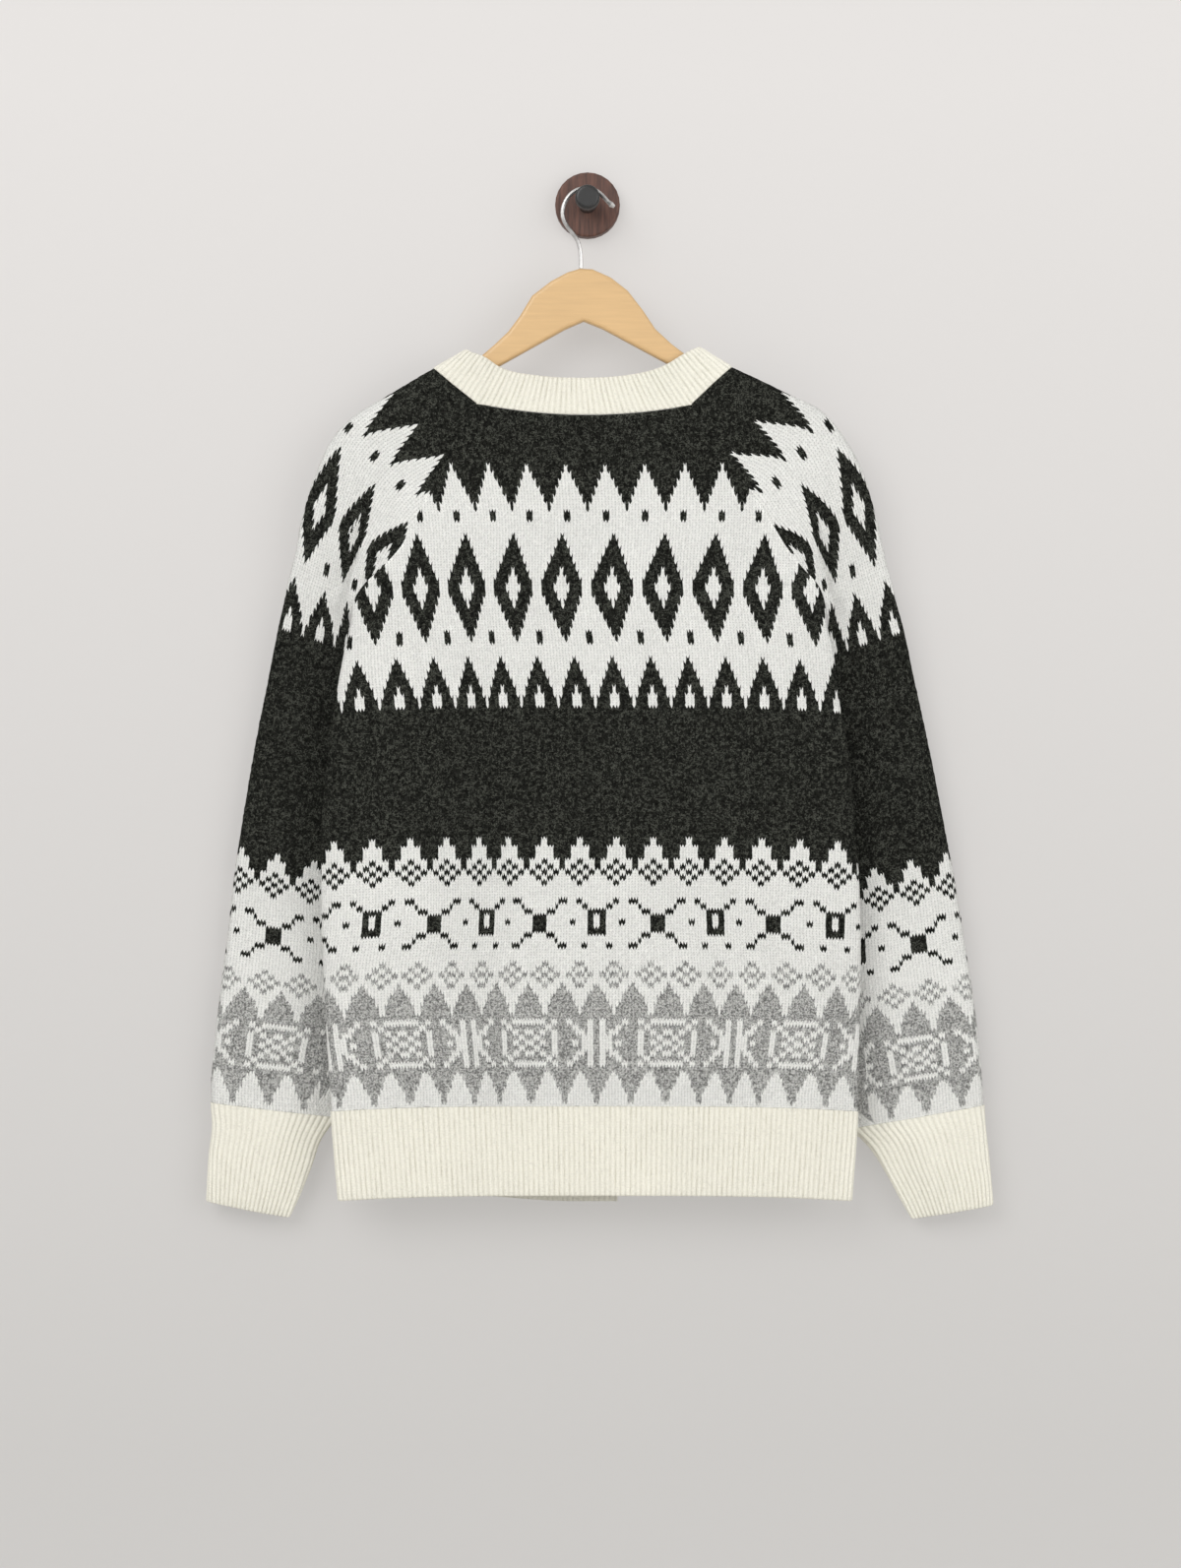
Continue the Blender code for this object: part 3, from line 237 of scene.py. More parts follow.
# Depths of a sleeve, by course. edge: the outer fold's middle. back, front: outer faces towards the
# room and the wall. seam: the underarm seam. sheet: the cloth between raglan seam and crease.
DepthRow = namedtuple("DepthRow", "course edge back front seam sheet")
SLEEVE_DEPTHS = [
    DepthRow(-78, -18, -27, -9, -22, -21),
    DepthRow(0, -18, -28, -8, -25, -24),
    DepthRow(103, -17.5, -27.5, -7.5, -27, -26),
    DepthRow(300, -18, -28, -8, -29, -28),
    DepthRow(350, -20, -29, -9, -36, -36),
    DepthRow(387, -23, -31.5, -11, -41, -43),
    DepthRow(405, -25.5, -33.5, -13, -45, -48),
    DepthRow(420, -27.5, -35.5, -15, -51, -51),
    DepthRow(432, -29.5, -37.3, -17, -51, -53),
    DepthRow(440, -30.5, -38.5, -18, -51, -54.5),
    DepthRow(460, -33, -41, -21, -51, -54.5),
    DepthRow(480, -35.5, -43.5, -24.5, -51, -54),
    DepthRow(500, -37.5, -46, -28, -51, -53.2),
    DepthRow(521, -39, -48, -30.5, -51, -52),
    DepthRow(542, -40, -49.3, -30.7, -51, -51),
    DepthRow(621, -40, -49.5, -30.5, -51, -50.3),
]

# The neckband's free edge. along: distance along its seam from the left end, which lies under the
# lap, up the left front, across the back and down the right front to the end that laps over.
NeckEdgeRow = namedtuple("NeckEdgeRow", "along x y z")
NECK_EDGE = [
    NeckEdgeRow(0, 24, -31.2, -197),
    NeckEdgeRow(34, -8, -31.2, -196.5),
    NeckEdgeRow(73, -38, -31.2, -190.5),
    NeckEdgeRow(109, -62, -31.0, -178),
    NeckEdgeRow(136, -76, -31.0, -164),
    NeckEdgeRow(163, -88, -31.2, -144),
    NeckEdgeRow(186, -95, -33.5, -126),
    NeckEdgeRow(197, -96, -40, -119.3),
    NeckEdgeRow(209, -92, -47, -121.5),
    NeckEdgeRow(227, -82, -49.5, -125.5),
    NeckEdgeRow(249, -69, -50.3, -134),
    NeckEdgeRow(293, -38, -51.0, -140.8),
    NeckEdgeRow(335, -3, -51.2, -142.5),
    NeckEdgeRow(378, 34, -51.0, -140),
    NeckEdgeRow(421, 62, -50.3, -132),
    NeckEdgeRow(443, 76, -49.5, -123.5),
    NeckEdgeRow(460, 85, -47, -118.8),
    NeckEdgeRow(470, 88.5, -40, -117.3),
    NeckEdgeRow(480, 88, -33.5, -124),
    NeckEdgeRow(503, 82, -31.2, -143),
    NeckEdgeRow(529, 73, -31.0, -163),
    NeckEdgeRow(555, 62, -31.0, -178),
    NeckEdgeRow(587, 44, -30.0, -190.5),
    NeckEdgeRow(617, 20, -27.8, -196.5),
    NeckEdgeRow(651, -10, -27.6, -197),
]


# ---------------------------------------------------------------- curves through tables

def smooth_through(knots, values, at):
    """Values of a smooth curve through (knots, values) at the given places."""
    knots = np.asarray(knots, float)
    values = np.asarray(values, float)
    at = np.clip(np.asarray(at, float), knots[0], knots[-1])
    steps = np.diff(knots)
    shape = (-1,) + (1,) * (values.ndim - 1)
    slopes = np.diff(values, axis=0) / steps.reshape(shape)
    tangents = np.empty_like(values)
    tangents[0] = slopes[0]
    tangents[-1] = slopes[-1]
    before = steps[:-1].reshape(shape)
    after = steps[1:].reshape(shape)
    tangents[1:-1] = (slopes[:-1] * after + slopes[1:] * before) / (before + after)
    span = np.clip(np.searchsorted(knots, at, side="right") - 1, 0, len(steps) - 1)
    width = steps[span]
    f = (at - knots[span]) / width
    flat = at.shape + (1,) * (values.ndim - 1)
    f = f.reshape(flat)
    width = width.reshape(flat)
    start = values[span]
    end = values[span + 1]
    return (start * (2 * f**3 - 3 * f**2 + 1)
            + end * (3 * f**2 - 2 * f**3)
            + tangents[span] * width * (f**3 - 2 * f**2 + f)
            + tangents[span + 1] * width * (f**3 - f**2))


def column(table, name, at):
    """One named column of a table, read at the given values of its first column."""
    knots = [row[0] for row in table]
    values = [getattr(row, name) for row in table]
    if knots[0] > knots[-1]:
        knots = knots[::-1]
        values = values[::-1]
    return smooth_through(knots, values, at)


def ease(f):
    """Smooth step from 0 to 1."""
    f = np.clip(f, 0.0, 1.0)
    return f * f * (3 - 2 * f)


def arc_lengths(points):
    """Distance along a polyline to each of its points."""
    steps = np.linalg.norm(np.diff(points, axis=0), axis=1)
    return np.concatenate([[0.0], np.cumsum(steps)])


# ---------------------------------------------------------------- the body's surface

def signed_power(value, power):
    return np.sign(value) * np.abs(value) ** power


def body_point(up, angle):
    """Outer surface of the body. angle 0 is mid back, a quarter turn either way is a side fold."""
    up, angle = np.broadcast_arrays(np.asarray(up, float), np.asarray(angle, float))
    row_up = up.ravel()
    left, right, back, front, middle = (
        column(BODY, name, row_up).reshape(up.shape)
        for name in ("left", "right", "back", "front", "middle"))
    across = signed_power(np.sin(angle), 2 / BODY_SQUARENESS)
    deep = signed_power(np.cos(angle), 2 / BODY_SQUARENESS)
    x = (left + right) / 2 + (right - left) / 2 * across
    y = middle + SIDE_BEND * across**2 - np.where(deep > 0, back, front) * deep
    z = HEM_SEAM_Z + up - HEM_SAG * across**4
    dip = NECK_DIP * ease((up - NECK_DIP_FROM_UP) / (NECK_UP - NECK_DIP_FROM_UP))
    z = z - np.where(deep > 0, dip * np.clip(1 - (x / NECK_HALF_WIDTH) ** 2, 0, 1), 0)
    return np.stack([x, y, z], axis=-1)


def angle_at(up, x, on_front):
    """The ring angle at which the body's surface has this x."""
    left = column(BODY, "left", np.atleast_1d(up))
    right = column(BODY, "right", np.atleast_1d(up))
    across = np.clip((x - (left + right) / 2) / ((right - left) / 2), -1, 1)
    angle = np.arcsin(signed_power(across, BODY_SQUARENESS / 2))
    if on_front:
        return np.where(angle < 0, -math.pi - angle, math.pi - angle)
    return angle


def body_normal(up, angle):
    """Outward unit normals of the body's surface."""
    up = np.asarray(up, float)
    angle = np.asarray(angle, float)
    rise = body_point(up + 1.0, angle) - body_point(up - 1.0, angle)
    turn = body_point(up, angle + 0.004) - body_point(up, angle - 0.004)
    normal = np.cross(turn, rise)
    return normal / np.linalg.norm(normal, axis=-1, keepdims=True)


def front_depth(x, z):
    """y of the body's front outer surface at (x, z)."""
    up = z - HEM_SEAM_Z
    angle = angle_at(up, x, True)
    return float(body_point(up, angle)[0][1])


def raglan_x(z, side):
    """Where the raglan seam of one side lies at height z."""
    return column(RAGLAN, "left" if side < 0 else "right", np.atleast_1d(z))


def seam_on_body(z, side, on_front):
    """Point and normal of a raglan seam on the body's surface."""
    z = np.atleast_1d(np.asarray(z, float))
    x = raglan_x(z, side)
    up = z - HEM_SEAM_Z
    for _ in range(3):
        angle = angle_at(up, x, on_front)
        up = up + (z - body_point(up, angle)[..., 2])
    angle = angle_at(up, x, on_front)
    return body_point(up, angle), body_normal(up, angle)


# ---------------------------------------------------------------- body panels

def front_shift(points, side, up):
    """Move front points for the lap of the right edge and the drop of both."""
    shifted = points.copy()
    from_edge = np.abs(points[..., 0] - BAND_MIDDLE_X) - (BAND_RIGHT_X - BAND_LEFT_X) / 2
    height = np.clip((up + HEM_HEIGHT) / (UNDERARM_UP + HEM_HEIGHT), 0, 1)
    drop = LEFT_FRONT_DROP if side < 0 else RIGHT_FRONT_DROP
    shifted[..., 2] -= drop * ease(1 - np.clip(from_edge, 0, None) / DROP_RUN) * (1 - height)
    if side > 0:
        shifted[..., 1] += LAP_DEPTH * ease(1 - np.clip(from_edge, 0, None) / LAP_RUN)
    return shifted


def back_limits(up):
    """Ring angles at which a row of the back ends: side folds, or raglan seams above them."""
    if up <= UNDERARM_UP:
        return -math.pi / 2, math.pi / 2
    z = HEM_SEAM_Z + up
    left = angle_at(up, raglan_x(z, -1), False)[0]
    right = angle_at(up, raglan_x(z, 1), False)[0]
    return left, right


def front_limits(up, side):
    """Ring angles of one front's row, from its side or raglan seam to its band or neckline."""
    z = HEM_SEAM_Z + up
    if up <= UNDERARM_UP:
        outer = side * math.pi / 2
    else:
        outer = angle_at(up, raglan_x(z, side), True)[0]
    name = "left" if side < 0 else "right"
    edge = column(FRONT_NECKLINE, name, np.atleast_1d(z))[0]
    inner = angle_at(up, edge, True)[0]
    if side < 0:
        outer = -abs(outer)
        inner = -(2 * math.pi - inner) if inner > 0 else inner
    else:
        inner = 2 * math.pi + inner if inner < 0 else inner
    return outer, inner


# ---------------------------------------------------------------- sleeves

CREASE = ((0.0, 0.08), (2.5, 0.38), (5.5, 0.75), (10.0, 1.0))     # run out from the lip, share of the step
CREASE_ROOM = 36.0          # the crease is narrower where the cap is narrower than this
FOLD_REACH = 20.0           # the hidden fold is fully formed from this width
FOLD_SHARES = (0.15, 0.35, 0.55, 0.73)
FRONT_SHARES = (0.25, 0.42, 0.56, 0.68, 0.77, 0.85)
FRONT_CURVE = 1.6           # how late the front comes in to its seam
# Shares of the way from the underarm seam to the flat back, and of the depth between them.
ARM_STEP = ((0, 0), (0.2, 0.17), (0.38, 0.34), (0.54, 0.52), (0.7, 0.7), (0.85, 0.87), (1, 1))
FOLD_LIFT = 2.2             # the fold lies this far off the front panel


def on_line(start, end, fraction):
    """A place between two others."""
    return tuple(a + (b - a) * fraction for a, b in zip(start, end))


def arm_controls(row, root, depth, finish, finish_y):
    """Points from the back of the arm round the outer fold and along the front to the seam."""
    out = (row.out, row.out_z)
    half = (depth.front - depth.back) / 2
    middle = on_line(out, finish, 0.45)
    places = [
        (*on_line(root, out, 0.36), depth.back),
        (*on_line(root, out, 0.66), depth.back + half * 0.04),
        (*on_line(root, out, 0.88), depth.back + half * 0.2),
        (*on_line(root, out, 0.975), depth.edge - half * 0.5),
        (*out, depth.edge),
        (*on_line(out, finish, 0.015), depth.edge + half * 0.5),
        (*on_line(out, finish, 0.09), depth.front - half * 0.2),
        (*middle, depth.front),
    ]
    for share in FRONT_SHARES:
        place = on_line(middle, finish, share)
        places.append((*place, depth.front + (finish_y - depth.front) * share**FRONT_CURVE))
    places.append((*finish, finish_y))
    return places


def turned_under(places, row, depth, seam, side):
    """Move the last points of a closed course to the fold that lies behind the body."""
    inn = (row.inn, row.inn_z)
    out = (row.out, row.out_z)
    turned = float(ease((math.dist(inn, seam) - 2) / FOLD_REACH))
    folded = []
    for share in FOLD_SHARES:
        place = on_line(inn, seam, share)
        off_panel = front_depth(side * place[0], place[1]) + FOLD_LIFT
        folded.append((*place, max(off_panel, depth.back, depth.seam)))
    middle = (depth.front + folded[0][2]) / 2
    folded = [(*on_line(inn, out, 0.1), depth.front), (*inn, middle), *folded]
    first = len(places) - 1 - len(folded)
    moved = [on_line(flat, fold, turned) for flat, fold in zip(places[first:-1], folded)]
    return places[:first] + moved + places[-1:]


def tube_controls(row, depth, side):
    """Points round a closed course, from the underarm seam round the back and the outer fold."""
    out = (row.out, row.out_z)
    inn = (row.inn, row.inn_z)
    seam = on_line(out, inn, (row.out - row.seam) / (row.out - row.inn))
    face = on_line(out, inn, (row.out - row.face) / (row.out - row.inn))
    rise = depth.back - depth.seam
    places = [(*on_line(seam, face, share), depth.seam + rise * rise_share)
              for share, rise_share in ARM_STEP]
    places += arm_controls(row, face, depth, seam, depth.seam)
    places = turned_under(places, row, depth, seam, side)
    return [(side * a, y, z) for a, z, y in places]


def cap_controls(row, depth, side):
    """Points along a course of the cap, from the back raglan seam to the front one."""
    back_seam = seam_on_body(row.seam_z, side, False)[0][0]
    front_seam = seam_on_body(row.front_seam_z, side, True)[0][0]
    start = (abs(back_seam[0]), back_seam[2])
    finish = (abs(front_seam[0]), front_seam[2])
    lip = (row.lip, row.lip_z)
    out = (row.out, row.out_z)
    outward = on_line((0, 0), (out[0] - lip[0], out[1] - lip[1]), 1 / math.dist(out, lip))
    step = depth.back - depth.sheet
    width = min(1.0, math.dist(out, lip) / CREASE_ROOM)
    places = [(*start, back_seam[1]),
              (*on_line(start, lip, 0.42), (back_seam[1] + depth.sheet) / 2),
              (*on_line(start, lip, 0.8), depth.sheet)]
    for run, drop in CREASE:
        run *= width
        places.append((lip[0] + outward[0] * run, lip[1] + outward[1] * run, depth.sheet + step * drop))
    places += arm_controls(row, lip, depth, finish, front_seam[1])
    return [(side * a, y, z) for a, z, y in places]


def depth_at(course):
    """The sleeve's depths at one course."""
    values = [column(SLEEVE_DEPTHS, name, [course])[0] for name in DepthRow._fields[1:]]
    return DepthRow(course, *values)


class Sleeve:
    """The outer surface of one sleeve, read by course and by place along the course."""

    def __init__(self, tube, cap, side):
        self.side = side
        self.cap = cap
        self.courses = [row.course for row in tube + cap]
        controls = [tube_controls(row, depth_at(row.course), side) for row in tube]
        controls += [cap_controls(row, depth_at(row.course), side) for row in cap]
        self.controls = np.array(controls)
        self.last = self.controls.shape[1] - 1

    def seam(self, course, on_front):
        """Point and normal on a raglan seam at a course of the cap."""
        values = [row.front_seam_z if on_front else row.seam_z for row in self.cap]
        z = smooth_through([row.course for row in self.cap], values, [course])
        point, normal = seam_on_body(z, self.side, on_front)
        return point[0], normal[0]

    def at(self, course, places):
        """Points of one course."""
        points = smooth_through(self.courses, self.controls, [course])[0]
        if course >= self.cap[0].course:
            points[0] = self.seam(course, False)[0]
            points[-1] = self.seam(course, True)[0]
        along = arc_lengths(points) + 0.3 * np.arange(len(points))
        return smooth_through(along, points, np.interp(places, np.arange(len(points)), along))

    def in_course_plane(self, normal):
        """The same normals, turned into the plane of the seam between sleeve and cuff."""
        ring = self.controls[self.courses.index(0)]
        across = unit((ring.max(axis=0) - ring.min(axis=0)) * np.array([1.0, 0.0, self.side * -1.0]))
        towards_room = np.array([0.0, 1.0, 0.0])
        return unit(np.outer(normal @ across, across) + np.outer(normal @ towards_room, towards_room))

    def normals(self, course, places):
        """Outward normals of one course."""
        along = self.at(course, np.minimum(places + 0.02, self.last))
        along = along - self.at(course, np.maximum(places - 0.02, 0))
        top = min(course + 0.5, self.courses[-1])
        up = self.at(top, places) - self.at(max(course - 0.5, self.courses[0]), places)
        normal = np.cross(along, up) * self.side
        normal /= np.linalg.norm(normal, axis=1, keepdims=True)
        if abs(course) <= HALF_GAP:
            normal = self.in_course_plane(normal)
        if course < self.cap[0].course:
            normal[[0, -1]] = normal[0] + normal[-1]
            normal /= np.linalg.norm(normal, axis=1, keepdims=True)
        else:
            normal[0] = self.seam(course, False)[1]
            normal[-1] = self.seam(course, True)[1]
        return normal


def unit(vector):
    return vector / np.linalg.norm(vector, axis=-1, keepdims=True)

# ---------------------------------------------------------------- where the stitches lie

# x of every fifteenth stitch of the body, counted from its middle, at some rows above the hem seam.
# The repeats' places were measured, and the stitches between and beyond them worked out from those.
WaleRow = namedtuple("WaleRow", "row l90 l75 l60 l45 l30 l15 middle r15 r30 r45 r60 r75 r90")
WALES = [
    WaleRow(5, -197, -158, -122, -89, -62, -27, 7, 44, 79, 112, 143, 179, 213),
    WaleRow(50, -207, -168, -129, -95, -64, -29, 7, 45, 83, 117, 152, 190, 221),
    WaleRow(69, -201, -163, -124, -92, -61, -28, 7, 45, 80, 115, 150, 188, 226),
    WaleRow(92, -200, -162, -124, -91, -62, -27, 8, 45, 80, 115, 152, 190, 227),
    WaleRow(171, -214, -176, -137, -102, -70, -34, 3, 41, 78, 115, 152, 188, 225),
    WaleRow(198, -214, -178, -142, -108, -74, -39, -2, 36, 73, 111, 147, 183, 220),
    WaleRow(226, -222, -185, -148, -111, -75, -39, -1, 38, 76, 114, 150, 188, 225),
    WaleRow(244, -232, -194, -155, -117, -80, -42, -3, 36, 76, 113, 152, 190, 228),
]
WALE_NUMBERS = np.arange(-90, 91, 15)
WALE_REACH = 120            # stitches are counted as far as this each way
FOLD_CLEAR = 12.0           # nearer than this to a fold they keep their own width

# Width of a sleeve's stitches, by course, and how far they have moved round towards the front.
StitchRow = namedtuple("StitchRow", "course width shift")
SLEEVE_STITCHES = [
    StitchRow(0, 2.5, 5), StitchRow(52, 2.54, 5), StitchRow(76, 2.62, 5), StitchRow(102, 2.65, 6.2),
    StitchRow(144, 2.6, 6.4), StitchRow(186, 2.42, 5.5), StitchRow(213, 2.5, 7.5), StitchRow(300, 2.4, 4),
    StitchRow(387, 2.28, 1), StitchRow(424, 2.22, 2.4),
    StitchRow(442, 2.2, 2), StitchRow(478, 2.15, -0.5), StitchRow(520, 2.52, 4), StitchRow(541, 2.62, 7.2),
    StitchRow(576, 2.65, 8), StitchRow(621, 2.6, 8),
]

HALF_STITCHES = np.arange(-2 * WALE_REACH, 2 * WALE_REACH + 1)


def wale_places(row, x, along, half_stitches):
    """Distances along a row of the body, whose points are at x, of its half stitches."""
    known = np.array([column(WALES, name, [row])[0] for name in WaleRow._fields[1:]])
    reach = (WALE_REACH - WALE_NUMBERS[-1]) * STITCH
    known = np.concatenate([[known[0] - reach], known, [known[-1] + reach]])
    numbers = np.concatenate([[-WALE_REACH], WALE_NUMBERS, [WALE_REACH]])
    wales = half_stitches / 2
    limits = x[0] + FOLD_CLEAR, x[-1] - FOLD_CLEAR
    first, last = np.interp(limits, known, numbers)
    first_place, last_place = np.interp(limits, x, along)
    places = np.interp(np.interp(wales, numbers, known), x, along)
    places = np.where(wales < first, first_place - (first - wales) * STITCH, places)
    return np.where(wales > last, last_place + (wales - last) * STITCH, places)


# ---------------------------------------------------------------- the knitted pattern

WHITE, GREY, CHARCOAL = 0.0, 1.0, 2.0

# Half widths, in stitches, of the motifs that grow row by row.
GREY_SPIRE = (0.6, 1.1, 1.1, 1.1, 1.6, 2.1, 2.6, 3.1, 3.1, 3.6, 4.1, 4.6)
WHITE_STEM = (0.6, 0.6, 0.6, 1.1, 1.6, 2.1, 2.1, 2.6, 3.6, 4.1, 4.6, 5.1)
WHITE_STEP = (5.1, 5.1, 5.1, 5.1, 2.6, 2.6, 2.6, 2.6, 2.6, 0.6, 0.6, 0.6)
WHITE_DROP = (1.1, 1.1, 1.1, 1.1, 1.1, 0.6, 0.6, 0.6)

# Stitches from one repeat of a motif to the next
SPIRE_EVERY = 11.25
STEP_EVERY = 12
DIAMOND_EVERY = 16
FRAME_EVERY = 45
RING_EVERY = 39.0

# Rows on which the bands of the pattern start
GREY_SPIRE_ROW = 2
GREY_GROUND = 14
WHITE_STEM_ROW = 36
WHITE_GROUND = 48
GREY_LATTICE_ROW = 46
BLACK_LATTICE_ROW = 85
BLACK_GROUND = 91
UPPER_WHITE_GROUND = 153
ZIGZAG_ROWS = (228, 245)
SLEEVE_EXTRA_ROWS = 34      # the sleeves' black band is this much taller
SLEEVE_EXTRA_FROM = 130


def from_nearest(stitch, first, every):
    """Stitches from the nearest repeat of a motif."""
    centre = np.round((stitch - first) / every) * every + first
    return stitch - np.round(2 * centre) / 2


def grown(widths, row, first):
    """The half width that a motif has on each row, or nothing outside its rows."""
    step = np.asarray(row - first, int)
    inside = (step >= 0) & (step < len(widths))
    return np.where(inside, np.array(widths)[np.clip(step, 0, len(widths) - 1)], -1)


def between(value, low, high):
    return (value >= low) & (value < high)


def lattice(stitch, row, first_row):
    """Eight small dots in a diamond, two stitches wide and two rows high each."""
    across = np.abs(np.round(stitch / 2))
    up = (row - first_row) // 2
    dots = between(up, 0, 5) & (across + np.abs(up - 2) <= 2) & ((across + up) % 2 == 0)
    return dots & (np.abs(stitch) < 4.8)


def frame_motif(stitch, row):
    """A frame of bars and dots with a checker inside it."""
    off = np.abs(stitch)
    level = np.abs(row - 24.5)
    lines = (off < 5.6) & between(level, 7, 9)
    sides = between(off, 7.6, 9.6) & (level < 5)
    corners = between(off, 5.6, 7.6) & between(level, 5, 7)
    corners |= between(off, 7.6, 9.6) & between(level, 7, 9)
    even = (row - 20) // 2 % 2 == 0
    dots = between(row, 20, 30) & np.where(even, (off < 1.1) | between(off, 3.6, 5.6), between(off, 1.6, 3.6))
    return lines | sides | corners | dots


def bar_motif(stitch, row):
    """Two bars side by side, with an arrow of dots on either side."""
    off = np.abs(stitch)
    level = np.abs(row - 24.5)
    bars = between(off, 1, 3) & (level < 9)
    arrow = np.select([level < 3, level < 5, level < 7, level < 9], [4.0, 5.5, 7.0, 9.0], -9.0)
    heart = (np.abs(off - 7.3) < 1.1) & (level < 1)
    return bars | (np.abs(off - arrow) < 1.1) | heart


def cross_motif(stitch, row):
    """A square with four stepped arms that go up and down."""
    across = np.abs(np.round(stitch / 2))
    centre = (np.abs(stitch) < 3) & between(row, 67, 74)
    upper = between(row, 74, 80) & (across == 2 + (row - 74) // 2)
    lower = between(row, 61, 67) & (across == 2 + (66 - row) // 2)
    return centre | upper | lower


def ring_motif(stitch, row):
    """A square with a hole, short arms above and dots around it."""
    off = np.abs(stitch)
    across = np.abs(np.round(stitch / 2))
    square = (off < 3) & between(row, 66, 76) & ~((off < 1) & between(row, 69, 74))
    arms = between(row, 76, 80) & (across == 2 + (row - 76) // 2)
    dots = (between(off, 7, 9) & between(row, 70, 72)) | (between(off, 3, 5) & between(row, 61, 63))
    return square | arms | dots


def diamond_motif(stitch, row):
    """A black diamond with a white heart."""
    off = np.abs(stitch)
    level = np.abs(row - 198)
    heart = np.select([level < 2, level < 5, level < 8], [2.6, 1.6, 0.6], -1)
    return (level <= 20) & (off < np.minimum(6.7, 7.4 - 0.35 * level)) & (off >= heart)


def pattern(stitch, row):
    """The yarn of each stitch. stitch: its middle, counted from the centre. row: counted from the hem."""
    stitch, row = np.broadcast_arrays(stitch, row)
    yarn = np.full(stitch.shape, WHITE)
    spire = np.abs(from_nearest(stitch, 0, SPIRE_EVERY))
    stem = np.abs(from_nearest(stitch, SPIRE_EVERY / 2, SPIRE_EVERY))
    twelve = from_nearest(stitch, 6, STEP_EVERY)
    grey = (spire < grown(GREY_SPIRE, row, GREY_SPIRE_ROW)) | between(row, GREY_GROUND, WHITE_GROUND)
    grey &= ~frame_motif(from_nearest(stitch, FRAME_EVERY / 2, FRAME_EVERY), row)
    grey &= ~bar_motif(from_nearest(stitch, 0, FRAME_EVERY), row)
    grey &= stem >= grown(WHITE_STEM, row, WHITE_STEM_ROW)
    grey |= lattice(from_nearest(stitch, SPIRE_EVERY / 2, SPIRE_EVERY), row, GREY_LATTICE_ROW)
    yarn[grey] = GREY

    ring = ring_motif(from_nearest(stitch, 0, RING_EVERY), row)
    cross = cross_motif(from_nearest(stitch, RING_EVERY / 2, RING_EVERY), row)
    stepped = between(row, BLACK_GROUND, UPPER_WHITE_GROUND)
    stepped &= np.abs(twelve) >= grown(WHITE_STEP, row, BLACK_GROUND)
    yarn[ring | cross | stepped | lattice(twelve, row, BLACK_LATTICE_ROW)] = CHARCOAL

    upper = row >= UPPER_WHITE_GROUND
    twelve = from_nearest(stitch, 6.5, STEP_EVERY)
    triangle = between(row, 153, 172) & (np.abs(twelve) < np.minimum(5.4, 0.5 + (171.5 - row) * 0.31))
    triangle &= np.abs(twelve) >= grown(WHITE_DROP, row, UPPER_WHITE_GROUND)
    dots = between(row, 177, 182) & (np.abs(from_nearest(stitch, 0, DIAMOND_EVERY)) < 1.1)
    dots |= between(row, 224, 228) & (np.abs(from_nearest(stitch, 6, STEP_EVERY)) < 1.1)
    peaks = (row >= ZIGZAG_ROWS[0]) & ~(np.abs(twelve) < 0.6 + (244 - row) * 0.33)
    diamond = diamond_motif(from_nearest(stitch, 8.5, DIAMOND_EVERY), row)
    yarn[upper & (triangle | dots | diamond | peaks)] = CHARCOAL
    return yarn


def sleeve_pattern(stitch, row):
    """The body's pattern with a taller black band, and two bands moved round by a stitch."""
    extra = np.clip(row - SLEEVE_EXTRA_FROM, 0, SLEEVE_EXTRA_ROWS)
    moved = between(row, 15, 35) * 1.0 - between(row, 60, 82) * 1.0
    return pattern(stitch + moved, row - extra)


# ---------------------------------------------------------------- cloth from courses

# One course of a piece: a fine line of points, their outward normals, the distance along it, and the
# distances along it of the columns of points.
Course = namedtuple("Course", "points normals along places")

OUTER_BAKE = (0.12, 1.0)
INNER_BAKE = (0.0, 0.08)
RIM_BAKES = ((0.085, 0.09), (0.092, 0.097), (0.099, 0.104), (0.106, 0.111))
RIM_ANGLE = math.radians(62)
INNER_COLUMNS = 20
SEAM_DIP = 0.2              # the cloth turns in at its seams
SEAM_RUN = 1.2
END_CLEAR = 0.15            # a column nearer than this to a piece's edge ends on the edge
LEG_DROP = 1.3              # a stitch's middle hangs lower than its sides by this many rows
FIRST_LEG_DROP = 0.8        # less on the first course, so that it stays above the seam
UNEVENNESS = 0.15           # how far a stitch strays from its place
RIB_SHARE = 0.3             # and the share of that on a rib


